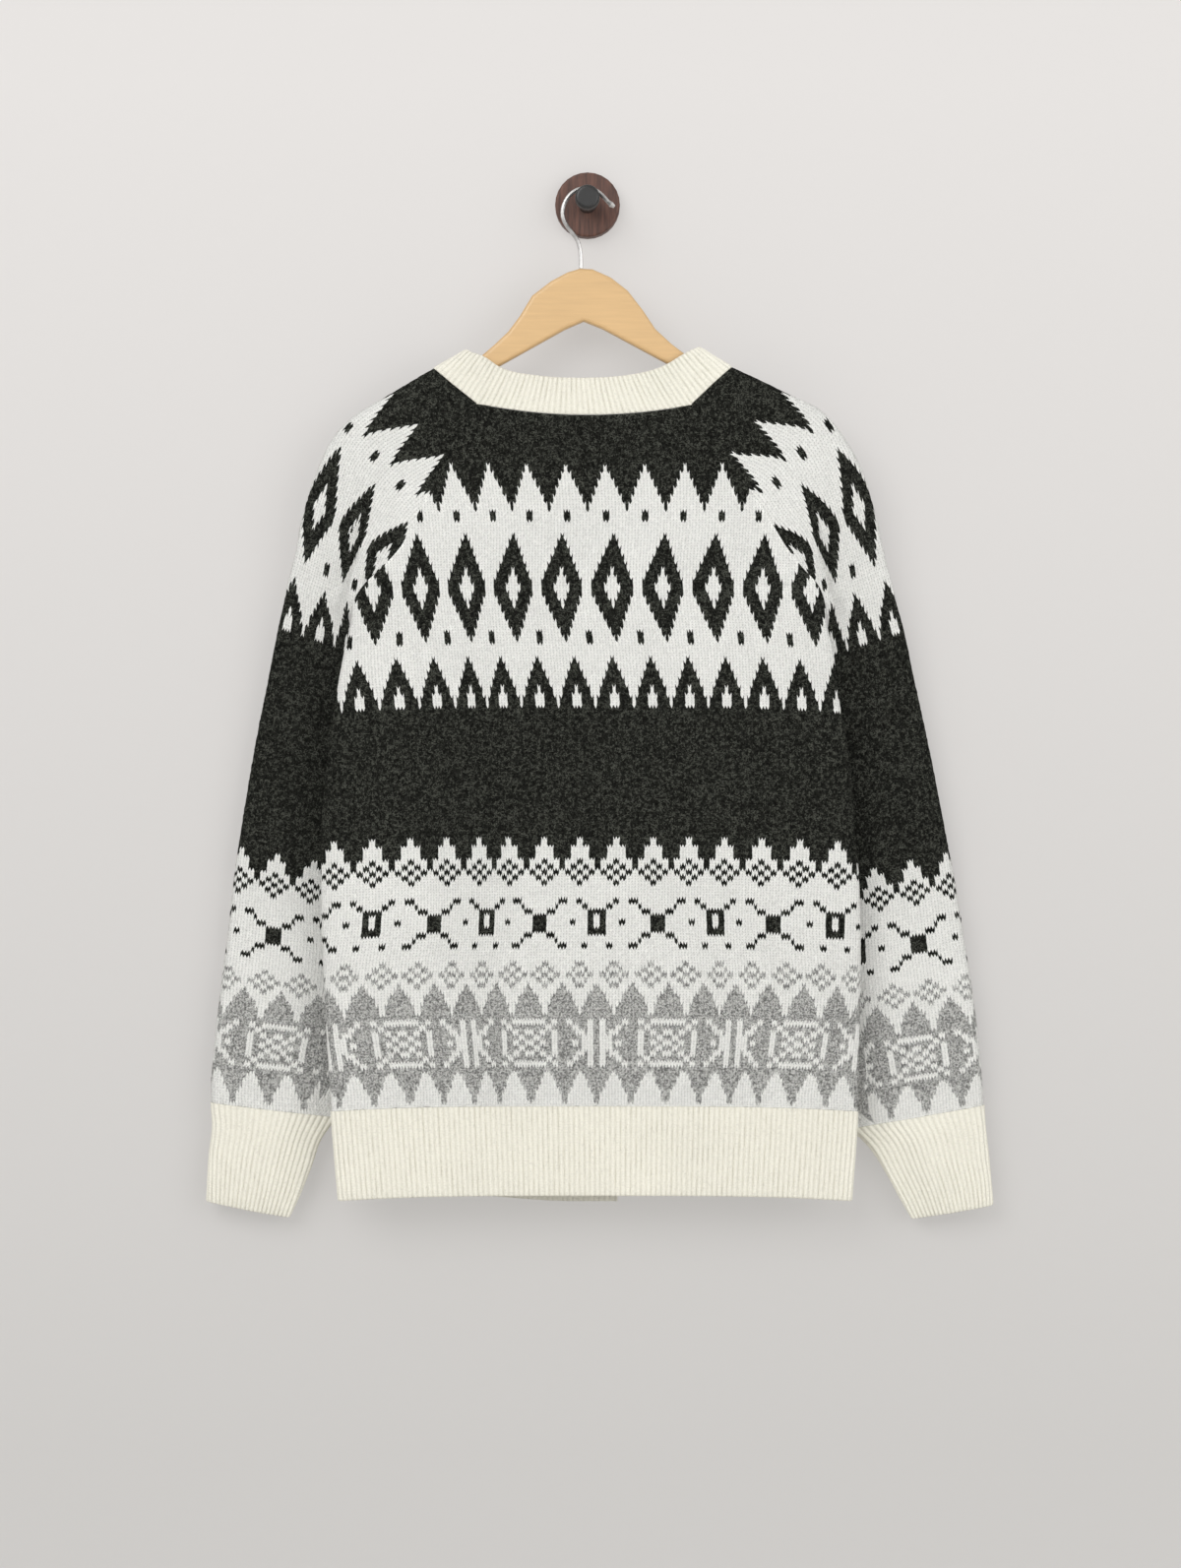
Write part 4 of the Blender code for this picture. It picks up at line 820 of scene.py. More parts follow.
class Cloth:
    """One closed piece of cloth: its outside, its plain inside and the rims between them."""

    def __init__(self):
        self.points = []
        self.count = 0
        self.triangles = []
        self.stitches = []
        self.bakes = []
        self.yarns = []

    def add_points(self, points):
        """Keep some points and give their numbers."""
        self.points.append(points)
        self.count += len(points)
        return np.arange(self.count - len(points), self.count)

    def add_triangles(self, triangles, stitches, bakes, yarns):
        kept = ((triangles[:, 0] != triangles[:, 1]) & (triangles[:, 1] != triangles[:, 2])
                & (triangles[:, 2] != triangles[:, 0]))
        self.triangles.append(triangles[kept])
        self.stitches.append(stitches[kept])
        self.bakes.append(bakes[kept])
        self.yarns.append(np.repeat(yarns[kept], 3))

    def add_grid(self, numbers, across, up, bake, yarns):
        """Two triangles for each cell of a grid of point numbers, seen with its rows going up."""
        rows, columns = numbers.shape
        i, j = (index.ravel() for index in np.mgrid[0:rows - 1, 0:columns - 1])
        for corners in (((0, 0), (0, 1), (1, 1)), ((0, 0), (1, 1), (1, 0))):
            row = np.stack([i + up_one for up_one, _ in corners], axis=1)
            place = np.stack([j + along_one for _, along_one in corners], axis=1)
            baked_up = bake[0] + (bake[1] - bake[0]) * row / (rows - 1)
            self.add_triangles(numbers[row, place], np.stack([across[place], up[row]], axis=-1),
                               np.stack([place / (columns - 1), baked_up], axis=-1), yarns[i, j])

    def add_rim(self, lower, upper, stitch_up, bake, yarn):
        """Triangles between two rows with different numbers of points, each (numbers, shares)."""
        (low, low_share), (high, high_share) = lower, upper
        triangles = []
        places = []
        a = b = 0
        while a < len(low) - 1 or b < len(high) - 1:
            next_low = low_share[a + 1] if a < len(low) - 1 else 2.0
            next_high = high_share[b + 1] if b < len(high) - 1 else 2.0
            if next_low <= next_high:
                triangles.append((low[a], low[a + 1], high[b]))
                places.append(((low_share[a], bake[0]), (next_low, bake[0]), (high_share[b], bake[1])))
                a += 1
            else:
                triangles.append((low[a], high[b + 1], high[b]))
                places.append(((low_share[a], bake[0]), (next_high, bake[1]), (high_share[b], bake[1])))
                b += 1
        places = np.array(places)
        stitches = places * np.array([100.0, 0.0]) + np.array([0.0, stitch_up])
        self.add_triangles(np.array(triangles), stitches, places, np.full(len(triangles), yarn))

    def build(self, name, material):
        """The finished mesh, with its faces turned outwards."""
        points = np.concatenate(self.points) * MM
        triangles = np.concatenate(self.triangles)
        stitches = np.concatenate(self.stitches)
        bakes = np.concatenate(self.bakes)
        a, b, c = (points[triangles[:, k]] for k in range(3))
        if np.einsum("ij,ij->i", a, np.cross(b, c)).sum() < 0:
            triangles = triangles[:, ::-1]
            stitches = stitches[:, ::-1]
            bakes = bakes[:, ::-1]
        mesh = bpy.data.meshes.new(name)
        mesh.vertices.add(len(points))
        mesh.vertices.foreach_set("co", points.ravel())
        mesh.loops.add(triangles.size)
        mesh.loops.foreach_set("vertex_index", np.ascontiguousarray(triangles, dtype=np.int32).ravel())
        mesh.polygons.add(len(triangles))
        mesh.polygons.foreach_set("loop_start", np.arange(0, triangles.size, 3, dtype=np.int32))
        mesh.update(calc_edges=True)
        for layer, values in (("OFBake", bakes), ("Stitches", stitches)):
            mesh.uv_layers.new(name=layer).data.foreach_set("uv", np.ascontiguousarray(values).ravel())
        yarn = mesh.attributes.new("yarn", "FLOAT", "CORNER")
        yarn.data.foreach_set("value", np.concatenate(self.yarns))
        mesh.shade_smooth()
        mesh.set_sharp_from_angle(angle=RIM_ANGLE)
        mesh.materials.append(material)
        obj = bpy.data.objects.new(name, mesh)
        bpy.context.scene.collection.objects.link(obj)
        return obj


def on_course(course, places):
    """Points and normals at distances along a course."""
    points = np.stack([np.interp(places, course.along, course.points[:, k]) for k in range(3)], axis=1)
    normals = np.stack([np.interp(places, course.along, course.normals[:, k]) for k in range(3)], axis=1)
    return points, unit(normals)


def unique_run(numbers, shares):
    """A row's point numbers without the repeats at its two ends."""
    fresh = np.concatenate([[True], numbers[1:] != numbers[:-1]])
    return numbers[fresh], shares[fresh]


def outer_stitches(cloth, courses, closed, slanted, relief, rng):
    """Numbers of the outer points, by course and column. Columns beyond an edge end on the edge."""
    numbers = np.empty((len(courses), len(courses[0].places)), int)
    odd = (np.arange(numbers.shape[1]) % 2 == 1) & slanted
    for i, course in enumerate(courses):
        edge = 0.0 if i < closed else HALF_GAP
        length = course.along[-1]
        inside = (course.places > edge + END_CLEAR) & (course.places < length - edge - END_CLEAR)
        spots, normals = on_course(course, course.places[inside])
        if 0 < i < len(courses) - 1:
            before = on_course(courses[i - 1], courses[i - 1].places[inside])[0]
            drop = min(LEG_DROP, FIRST_LEG_DROP * i)
            spots = np.where(odd[inside, None], spots + (before - spots) * drop, spots)
            spots = spots + rng.normal(0, UNEVENNESS, spots.shape) * (1 if slanted else RIB_SHARE)
        ends, end_normals = on_course(course, np.array([edge, length - edge]))
        to_edge = np.minimum(course.places[inside], length - course.places[inside])
        lift = relief[i, inside] - SEAM_DIP * np.exp(-(to_edge / SEAM_RUN) ** 2)
        inner = cloth.add_points(spots + normals * lift[:, None])
        ends = cloth.add_points(ends + end_normals * (relief[i, [0, -1]] - SEAM_DIP)[:, None])
        numbers[i, inside] = inner
        numbers[i, course.places <= edge + END_CLEAR] = ends[0]
        numbers[i, course.places >= length - edge - END_CLEAR] = ends[0] if i < closed else ends[1]
    return numbers


def inner_points(cloth, courses, closed, wall, columns):
    """Numbers of the plain inside's points."""
    numbers = np.empty((len(courses), columns), int)
    for i, course in enumerate(courses):
        edge = 0.0 if i < closed else HALF_GAP
        spots, normals = on_course(course, np.linspace(edge, course.along[-1] - edge, columns))
        numbers[i] = cloth.add_points(spots - normals * wall)
        if i < closed:
            numbers[i, -1] = numbers[i, 0]
    return numbers


def knit(name, courses, stitches, rows, yarns, material, closed=0, wall=WALL, relief=None,
         slanted=True, inner_columns=INNER_COLUMNS):
    """A closed piece of cloth. stitches and rows number its columns and courses, yarns colours its
    cells, and every second column hangs lower when slanted, as the legs of a stitch do.
    """
    cloth = Cloth()
    rng = np.random.default_rng(len(name) + len(courses))
    if relief is None:
        relief = np.zeros((len(courses), len(stitches)))
    outer = outer_stitches(cloth, courses, closed, slanted, relief, rng)
    inner = inner_points(cloth, courses, closed, wall, inner_columns)
    cloth.add_grid(outer, stitches, rows, OUTER_BAKE, yarns)
    row_yarns = np.repeat(np.median(yarns, axis=1)[:, None], inner_columns - 1, axis=1)
    inner_stitches = np.linspace(stitches[0], stitches[-1], inner_columns)
    cloth.add_grid(inner[:, ::-1], inner_stitches, rows, INNER_BAKE, row_yarns)
    shares = np.linspace(0, 1, inner_columns)
    for end, bake in ((0, RIM_BAKES[0]), (-1, RIM_BAKES[1])):
        course = courses[end]
        outside = unique_run(outer[end], np.clip(course.places / course.along[-1], 0, 1))
        inside = (inner[end], shares)
        pair = (inside, outside) if end == 0 else (outside, inside)
        cloth.add_rim(*pair, rows[end], bake, float(np.median(yarns[end])))
    start = max(closed - 1, 0)
    if start < len(courses) - 1:
        for end, bake in ((0, RIM_BAKES[2]), (-1, RIM_BAKES[3])):
            pair = (inner[start:, end], outer[start:, end])
            side = np.stack(pair if end == 0 else pair[::-1], axis=1)
            edge_yarns = row_yarns[start:, :1]
            cloth.add_grid(side, np.array([0.0, 1.0]), rows[start:], bake, edge_yarns)
    return cloth.build(name, material)


def needed_columns(courses, half_stitches):
    """The columns that any course reaches, with one more on each side."""
    reached = np.zeros(len(half_stitches), bool)
    for course in courses:
        reached |= (course.places > 0) & (course.places < course.along[-1])
    first, last = np.flatnonzero(reached)[[0, -1]]
    return slice(max(first - 1, 0), last + 2)


def patterned(name, courses, half_stitches, chart, material, closed=0, wall=WALL):
    """A patterned piece, and the flat area of its stitches in square metres."""
    kept = needed_columns(courses, half_stitches)
    courses = [course._replace(places=course.places[kept]) for course in courses]
    half_stitches = half_stitches[kept]
    middles = np.floor(half_stitches[:-1] / 2) + 0.5
    rows = np.arange(len(courses))
    yarns = chart(middles[None, :], rows[:-1, None])
    obj = knit(name, courses, half_stitches / 2, rows.astype(float), yarns, material, closed, wall)
    widths = [np.count_nonzero((course.places > 0) & (course.places < course.along[-1])) / 2
              for course in courses]
    return obj, sum(widths) * STITCH * ROW * MM * MM, max(widths) * STITCH * MM


# ---------------------------------------------------------------- patterned pieces

FINE = 241
SLEEVE_FINE = 341
FOLD_PLACE = 11             # the place of the outer fold on every course of a sleeve


def body_course(row, up, start, end, shift=None):
    """One course of the body between two ring angles, with x growing along it."""
    angles = np.linspace(start, end, FINE)
    points = body_point(up, angles)
    normals = body_normal(np.full(FINE, up), angles)
    if shift is not None:
        points = shift(points)
    along = arc_lengths(points)
    return Course(points, normals, along, wale_places(row, points[:, 0], along, HALF_STITCHES))


def knit_heights(top):
    """Heights of the rows of a piece that is knitted up to top."""
    count = round(top / ROW)
    return np.linspace(HALF_GAP, top - HALF_GAP, count + 1)


def make_back(material):
    ups = knit_heights(NECK_UP)
    courses = [body_course(row, up, *back_limits(up)) for row, up in enumerate(ups)]
    return patterned("back_panel_knit", courses, HALF_STITCHES, pattern, material)


def make_front(side, name, material):
    ups = knit_heights(FRONT_NECK_Z - HEM_SEAM_Z + FRONT_NECK_RISES[-1])
    courses = []
    for row, up in enumerate(ups):
        limits = front_limits(up, side)
        limits = limits if side < 0 else limits[::-1]
        courses.append(body_course(row, up, *limits, lambda points: front_shift(points, side, up)))
    return patterned(name, courses, HALF_STITCHES, pattern, material)


# How far the edges of the open cap reach in under the panels, by course.
TuckRow = namedtuple("TuckRow", "course reach")
CAP_TUCK = [
    TuckRow(421, 3.8), TuckRow(440, 2.8), TuckRow(465, 2.6), TuckRow(485, 1.6), TuckRow(500, 1.1),
    TuckRow(530, 0.6), TuckRow(621, 0.2),
]
TUCK_TO = (0.73, 0.0, -0.68)    # inwards and down
TUCK_SINK = 0.4


def tucked(side, course, points, normals):
    """A course of the open cap with its two ends carried in under the panels."""
    reach = column(CAP_TUCK, "reach", [course])[0]
    inward = np.array(TUCK_TO) * (-side, 1, 1) * reach
    ends = points[[0, -1]] + inward - normals[[0, -1]] * TUCK_SINK
    points = np.concatenate([ends[:1], points, ends[1:]])
    return points, np.concatenate([normals[:1], normals, normals[-1:]])


def sleeve_course(sleeve, course, half_stitches):
    fine = np.linspace(0, sleeve.last, SLEEVE_FINE)
    points = sleeve.at(course, fine)
    normals = sleeve.normals(course, fine)
    if course > UNDERARM_COURSE:
        points, normals = tucked(sleeve.side, course, points, normals)
        fine = np.concatenate([fine[:1], fine, fine[-1:]])
    along = arc_lengths(points)
    fold = np.interp(FOLD_PLACE, fine, along)
    fold += column(SLEEVE_STITCHES, "shift", [course])[0]
    width = column(SLEEVE_STITCHES, "width", [course])[0]
    return Course(points, normals, along, fold + half_stitches / 2 * width)


def make_sleeve(name, sleeve, material):
    """The seam of the underarm is closed, and above it the cap is open between its raglan seams."""
    heights = knit_heights(sleeve.courses[-1])
    closed = int(np.count_nonzero(heights <= UNDERARM_COURSE))
    courses = [sleeve_course(sleeve, course, HALF_STITCHES) for course in heights]
    return patterned(name, courses, HALF_STITCHES, sleeve_pattern, material, closed, SLEEVE_WALL)


# ---------------------------------------------------------------- ribbed pieces

RIB_HEIGHT_STEP = 4.2       # spacing of the points along a rib
BAND_FINE = 60              # points across a front band
EDGE_STEPS = (0.0, 0.5, 1.4)    # rows of points that round a free edge
EDGE_DIPS = (1.1, 0.35, 0.0)    # and how far each turns in


def rib_relief(rows, columns):
    """Knit columns raised above the purl ones, round-backed, with a narrow valley between them."""
    turn = np.arange(columns) / RIB_COLUMNS
    profile = RIB_RISE * (1 - np.abs(np.sin(np.pi * turn)) ** 4)
    return np.tile(profile, (rows, 1))


def ribbed(name, courses, heights, material, closed=0, wall=WALL, dips=None, inner_columns=40):
    """A ribbed piece from its courses, whose columns are spread evenly."""
    length = float(np.mean([course.along[-1] for course in courses]))
    pitches = round(length / RIB_PITCH)
    columns = pitches * RIB_COLUMNS + 1
    spread = []
    for i, course in enumerate(courses):
        edge = 0.0 if i < closed else HALF_GAP
        places = np.linspace(edge, course.along[-1] - edge, columns)
        spread.append(course._replace(places=places))
    relief = rib_relief(len(courses), columns)
    if dips is not None:
        relief = relief - np.asarray(dips)[:, None]
    stitches = np.arange(columns) / RIB_COLUMNS * 2
    yarns = np.full((len(courses) - 1, columns - 1), WHITE)
    rows = np.asarray(heights) / ROW
    return knit(name, spread, stitches, rows, yarns, material, closed, wall, relief,
                slanted=False, inner_columns=inner_columns)


def rib_heights(bottom, top):
    """Heights of a rib's courses, closer together at its free edge, and how far each turns in."""
    start = bottom + EDGE_STEPS[-1]
    count = max(2, round((top - start) / RIB_HEIGHT_STEP))
    heights = [bottom + step for step in EDGE_STEPS[:-1]] + list(np.linspace(start, top, count + 1))
    dips = list(EDGE_DIPS) + [0.0] * count
    return heights, dips


def rib_course(points, normals):
    along = arc_lengths(points)
    return Course(points, normals, along, along)


def make_hem(name, material, side=None):
    """The hem rib of one front, or of the back where no side is given."""
    heights, dips = rib_heights(-HEM_HEIGHT, -HALF_GAP)
    courses = []
    for up in heights:
        limits = back_limits(up) if side is None else front_limits(up, side)
        angles = np.linspace(*limits, FINE)
        points = body_point(up, angles)
        if side is not None:
            points = front_shift(points, side, up)
        courses.append(rib_course(points, body_normal(np.full(FINE, up), angles)))
    return ribbed(name, courses, heights, material, dips=dips)


def band_angles(up, x):
    """Ring angles of places on the bands, all counted the same way round."""
    angles = angle_at(up, x, True)
    return np.where(angles < 0, angles + 2 * math.pi, angles)


def make_band(side, name, material):
    """A front band whose ribs run along it."""
    heights, dips = rib_heights(-HEM_HEIGHT, FRONT_NECK_Z - HEM_SEAM_Z - 2 * HALF_GAP)
    courses = []
    for up in heights:
        start = BAND_LEFT_X + (HALF_GAP if side < 0 else 0)
        end = BAND_RIGHT_X - (HALF_GAP if side > 0 else 0)
        angles = band_angles(up, np.linspace(start, end, BAND_FINE))
        points = front_shift(body_point(up, angles), side, up)
        courses.append(rib_course(points, body_normal(np.full(BAND_FINE, up), angles)))
    return ribbed(name, courses, heights, material, dips=dips, inner_columns=8)


def make_cuff(name, sleeve, material):
    heights, dips = rib_heights(-CUFF_HEIGHT, -HALF_GAP)
    fine = np.linspace(0, sleeve.last, SLEEVE_FINE)
    courses = [rib_course(sleeve.at(course, fine), sleeve.normals(course, fine)) for course in heights]
    return ribbed(name, courses, heights, material, closed=len(courses), wall=SLEEVE_WALL, dips=dips)


def front_neck(side):
    """Points of a front's neck seam, from its band to its raglan seam."""
    points = []
    for rise in FRONT_NECK_RISES:
        up = FRONT_NECK_Z - HEM_SEAM_Z + rise
        outer, inner = front_limits(up, side)
        points.append(front_shift(body_point(up, inner), side, up))
    points.append(front_shift(body_point(up, outer), side, up))
    return np.array(points)


def band_top(side):
    up = FRONT_NECK_Z - HEM_SEAM_Z - 2 * HALF_GAP
    angles = band_angles(up, np.array([BAND_LEFT_X, BAND_RIGHT_X]))
    return front_shift(body_point(up, angles), side, up)


def make_neckband(sleeves, material):
    """A ribbed strip from the seam round the neck to its free edge."""
    top = sleeves[-1].courses[-1] - HALF_GAP
    places = np.arange(sleeves[-1].last + 1.0)
    back = body_point(NECK_UP - HALF_GAP, np.linspace(*back_limits(NECK_UP - HALF_GAP), 19))
    seam = np.concatenate([
        band_top(-1)[::-1], front_neck(-1), sleeves[-1].at(top, places)[::-1], back,
        sleeves[1].at(top, places), front_neck(1)[::-1], band_top(1)[::-1]])
    along = arc_lengths(seam)
    at = np.linspace(0, along[-1], 1200)
    lower = np.stack([np.interp(at, along, seam[:, axis]) for axis in range(3)], axis=1)
    scale = NECK_EDGE[-1].along / along[-1]
    upper = np.stack([column(NECK_EDGE, axis, at * scale) for axis in "xyz"], axis=1)
    rise = upper - lower
    height = float(np.mean(np.linalg.norm(rise, axis=1)))
    lower = lower + unit(rise) * NECK_GAP
    normal = unit(np.cross(np.gradient((lower + upper) / 2, axis=0), rise))
    shares = np.array([0.0, 0.03, 0.12, 0.3, 0.5, 0.7, 0.86, 0.95, 0.98, 1.0])
    dips = (0.5, 0.1, 0.0, 0.0, 0.0, 0.0, 0.0, 0.1, 0.45, 1.2)
    courses = [rib_course(lower + (upper - lower) * share, normal) for share in shares]
    return ribbed("neckband_rib", courses, shares * height, material, dips=dips, inner_columns=160)


# ---------------------------------------------------------------- materials

def add_node(tree, kind, **settings):
    """A shader node with its settings."""
    node = tree.nodes.new(kind)
    for name, value in settings.items():
        setattr(node, name, value)
    return node


def join(tree, source, output, target, socket):
    tree.links.new(source.outputs[output], target.inputs[socket])


def new_material(name, roughness, metallic=0.0):
    material = bpy.data.materials.new(name)
    material.use_nodes = True
    shader = material.node_tree.nodes["Principled BSDF"]
    shader.inputs["Roughness"].default_value = roughness
    shader.inputs["Metallic"].default_value = metallic
    return material, material.node_tree, shader


def noise(tree, scale, detail, roughness=0.6, stretch=(1, 1, 1)):
    """Noise on the object's own coordinates, stretched along its axes."""
    place = add_node(tree, "ShaderNodeTexCoord")
    mapping = add_node(tree, "ShaderNodeMapping")
    mapping.inputs["Scale"].default_value = stretch
    texture = add_node(tree, "ShaderNodeTexNoise")
    texture.inputs["Scale"].default_value = scale
    texture.inputs["Detail"].default_value = detail
    texture.inputs["Roughness"].default_value = roughness
    join(tree, place, "Object", mapping, "Vector")
    join(tree, mapping, "Vector", texture, "Vector")
    return texture


def ramp(tree, source, output, stops, interpolation="LINEAR"):
    """A colour ramp with (place, colour) stops."""
    node = add_node(tree, "ShaderNodeValToRGB")
    node.color_ramp.interpolation = interpolation
    elements = node.color_ramp.elements
    while len(elements) > 1:
        elements.remove(elements[-1])
    for k, (place, colour) in enumerate(stops):
        element = elements[0] if k == 0 else elements.new(place)
        element.position = place
        element.color = (*colour, 1.0)
    join(tree, source, output, node, "Fac")
    return node


def math_node(tree, operation, first, second=None):
    """A maths node on (node, output) pairs or plain numbers."""
    node = add_node(tree, "ShaderNodeMath", operation=operation)
    for k, value in enumerate((first, second)):
        if value is None:
            continue
        if isinstance(value, tuple):
            tree.links.new(value[0].outputs[value[1]], node.inputs[k])
        else:
            node.inputs[k].default_value = value
    return node


def stretched(tree, source, output, **limits):
    """A range mapped onto another. Limits are from_min, from_max, to_min and to_max."""
    node = add_node(tree, "ShaderNodeMapRange")
    for name, value in limits.items():
        node.inputs[name.replace("_", " ").title()].default_value = value
    join(tree, source, output, node, "Value")
    return node


def stitch_place(tree):
    """The place on the knit, in stitches across and rows up."""
    places = add_node(tree, "ShaderNodeUVMap", uv_map="Stitches")
    split = add_node(tree, "ShaderNodeSeparateXYZ")
    join(tree, places, "UV", split, "Vector")
    return split


def mixed(tree, factor, first, second, blend="MIX"):
    """A colour mix of two (node, output) pairs by a third."""
    node = add_node(tree, "ShaderNodeMix", data_type="RGBA", blend_type=blend)
    for source, socket in ((factor, 0), (first, 6), (second, 7)):
        if isinstance(source, (int, float)):
            node.inputs[socket].default_value = source
        else:
            tree.links.new(source[0].outputs[source[1]], node.inputs[socket])
    return node


HAIR_WIDTH = 0.055          # as a share of the noise's range
GAP_FROM = 0.6              # how near a corner the dark between stitches starts
GAP_SHADE = 0.6
KNIT_HEATHER = (0.42, 0.6)  # the part of the noise that goes from the deep shade to the pale one
RIB_HEATHER = (0.3, 0.5)


def rib_ridge(tree):
    """One on a rib's knit columns and nothing in the valleys between them."""
    split = stitch_place(tree)
    turn = math_node(tree, "MULTIPLY", (split, "X"), math.pi / 2)
    wave = math_node(tree, "COSINE", (turn, 0))
    wave = math_node(tree, "ABSOLUTE", (wave, 0))
    return math_node(tree, "POWER", (wave, 0), 0.6)


def strand_height(tree):
    """Height of the yarn over a stitch: two legs, each a round strand."""
    split = stitch_place(tree)
    doubled = math_node(tree, "MULTIPLY", (split, "X"), 2.0)
    waves = []
    for source in ((doubled, 0), (split, "Y")):
        part = math_node(tree, "FRACT", source)
        turn = math_node(tree, "MULTIPLY", (part, 0), math.pi)
        waves.append(math_node(tree, "SINE", (turn, 0)))
    across = math_node(tree, "MULTIPLY", (waves[0], 0), 0.5)
    across = math_node(tree, "ADD", (across, 0), 0.5)
    up = math_node(tree, "POWER", (waves[1], 0), 0.6)
    return math_node(tree, "MULTIPLY", (across, 0), (up, 0))


def stitch_gap(tree):
    """How much light reaches a point: less at the corners between four stitches."""
    split = stitch_place(tree)
    sides = []
    for axis in "XY":
        turn = math_node(tree, "MULTIPLY", (split, axis), math.pi)
        wave = math_node(tree, "COSINE", (turn, 0))
        sides.append(math_node(tree, "ABSOLUTE", (wave, 0)))
    corner = math_node(tree, "MULTIPLY", (sides[0], 0), (sides[1], 0))
    return stretched(tree, corner, 0, from_min=GAP_FROM, from_max=1.0, to_min=1.0, to_max=GAP_SHADE)


def hairs(tree):
    """Brushed hair on the surface: short wandering lines."""
    kinds = []
    for scale, stretch in ((300, (1, 1, 1.8)), (420, (1.7, 1, 1))):
        away = math_node(tree, "SUBTRACT", (noise(tree, scale, 2, 0.5, stretch), "Fac"), 0.5)
        away = math_node(tree, "ABSOLUTE", (away, 0))
        line = stretched(tree, away, 0, from_min=HAIR_WIDTH, from_max=0)
        piece = math_node(tree, "GREATER_THAN", (noise(tree, scale * 0.9, 1, 0.5), "Fac"), 0.53)
        kinds.append(math_node(tree, "MULTIPLY", (line, "Result"), (piece, 0)))
    return math_node(tree, "MAXIMUM", (kinds[0], 0), (kinds[1], 0))


def add_bump(tree, shader, source, output, strength, distance):
    bump = add_node(tree, "ShaderNodeBump")
    bump.inputs["Strength"].default_value = strength
    bump.inputs["Distance"].default_value = distance
    join(tree, source, output, bump, "Height")
    join(tree, bump, "Normal", shader, "Normal")


def scaled(colour, factor):
    return tuple(min(1.0, value * factor) for value in colour)


def wool_material(name, shades, depth, rib=False):
    """Wool, from (place on the ramp, deep shade, pale shade, shade of the hairs) for each yarn."""
    material, tree, shader = new_material(name, 0.95)
    shader.inputs["Specular IOR Level"].default_value = 0.05
    yarn = add_node(tree, "ShaderNodeAttribute", attribute_name="yarn")
    halved = math_node(tree, "MULTIPLY", (yarn, "Fac"), 0.5)
    deep, pale, brushed = (ramp(tree, halved, 0, [(shade[0], shade[k]) for shade in shades], "CONSTANT")
                           for k in (1, 2, 3))
    low, high = RIB_HEATHER if rib else KNIT_HEATHER
    heather = stretched(tree, noise(tree, 620, 4, 0.7), "Fac", from_min=low, from_max=high)
    height = strand_height(tree)
    if rib:
        height = math_node(tree, "MULTIPLY", (height, 0), 0.35)
        height = math_node(tree, "ADD", (height, 0), 0.65)
        height = math_node(tree, "MULTIPLY", (height, 0), (rib_ridge(tree), 0))
    # Painted shade: the colour goes towards the deep shade where the strands lie low, between the legs,
    # between the rows and in the rib's valleys.
    lit = math_node(tree, "MULTIPLY", (height, 0), 0.6)
    lit = math_node(tree, "ADD", (lit, 0), 0.4)
    share = math_node(tree, "MULTIPLY", (heather, "Result"), (lit, 0))
    colour = mixed(tree, (share, 0), (deep, "Color"), (pale, "Color"))
    hair_share = math_node(tree, "MULTIPLY", (hairs(tree), 0), 0.75)
    colour = mixed(tree, (hair_share, 0), (colour, 2), (brushed, "Color"))
    tone = stretched(tree, noise(tree, 14, 3), "Fac", to_min=0.93, to_max=1.07)
    toned = mixed(tree, 1.0, (colour, 2), (tone, "Result"), "MULTIPLY")
    if not rib:
        toned = mixed(tree, 1.0, (toned, 2), (stitch_gap(tree), "Result"), "MULTIPLY")
    tree.links.new(toned.outputs[2], shader.inputs["Base Color"])
    raised = math_node(tree, "MULTIPLY", (noise(tree, 1500, 3, 0.8), "Fac"), 0.45)
    raised = math_node(tree, "ADD", (raised, 0), (height, 0))
    add_bump(tree, shader, raised, 0, 0.9, depth)
    return material


def wood_material(name, dark, light, stretch, scale, roughness, coat):
    """Wood whose grain runs along the axis that it is stretched on."""
    material, tree, shader = new_material(name, roughness)
    grain = noise(tree, scale, 6, 0.6, stretch)
    colour = ramp(tree, grain, "Fac", [(0.3, dark), (0.7, light)])
    join(tree, colour, "Color", shader, "Base Color")
    add_bump(tree, shader, grain, "Fac", 0.15, 0.0003)
    shader.inputs["Coat Weight"].default_value = coat
    shader.inputs["Coat Roughness"].default_value = 0.25
    return material


def smooth_material(name, colour, roughness, metallic=0.0):
    """Metal, lacquer or horn with fine wear in its shine."""
    material, tree, shader = new_material(name, roughness, metallic)
    wear = noise(tree, 260, 4)
    tint = ramp(tree, wear, "Fac", [(0.3, scaled(colour, 0.85)), (0.7, scaled(colour, 1.12))])
    join(tree, tint, "Color", shader, "Base Color")
    shine = stretched(tree, wear, "Fac", to_min=roughness * 0.75, to_max=roughness * 1.3)
    join(tree, shine, "Result", shader, "Roughness")
    return material


def knit_wool():
    found = bpy.data.materials.get("fair_isle_wool")
    if found:
        return found
    settings = bpy.context.scene.cardigan
    white, grey, charcoal = settings.white_wool, settings.grey_wool, settings.charcoal_wool
    shades = [
        (0.0, scaled(white, 0.9), scaled(white, 1.12), scaled(white, 1.12)),
        (0.25, scaled(grey, 0.38), scaled(grey, 1.7), scaled(grey, 1.9)),
        (0.75, scaled(charcoal, 0.4), scaled(charcoal, 2.3), scaled(charcoal, 10)),
    ]
    return wool_material("fair_isle_wool", shades, settings.stitch_depth)


def rib_wool():
    found = bpy.data.materials.get("cream_wool")
    if found:
        return found
    settings = bpy.context.scene.cardigan
    cream = settings.cream_wool
    shades = [(0.0, scaled(cream, 0.83), scaled(cream, 1.04), scaled(cream, 1.04))]
    return wool_material("cream_wool", shades, settings.stitch_depth, rib=True)


# ---------------------------------------------------------------- hard pieces

def dress(node, material):
    """Give a hard piece its finished material."""
    for slot in bpy.data.objects[node].material_slots:
        slot.material = material


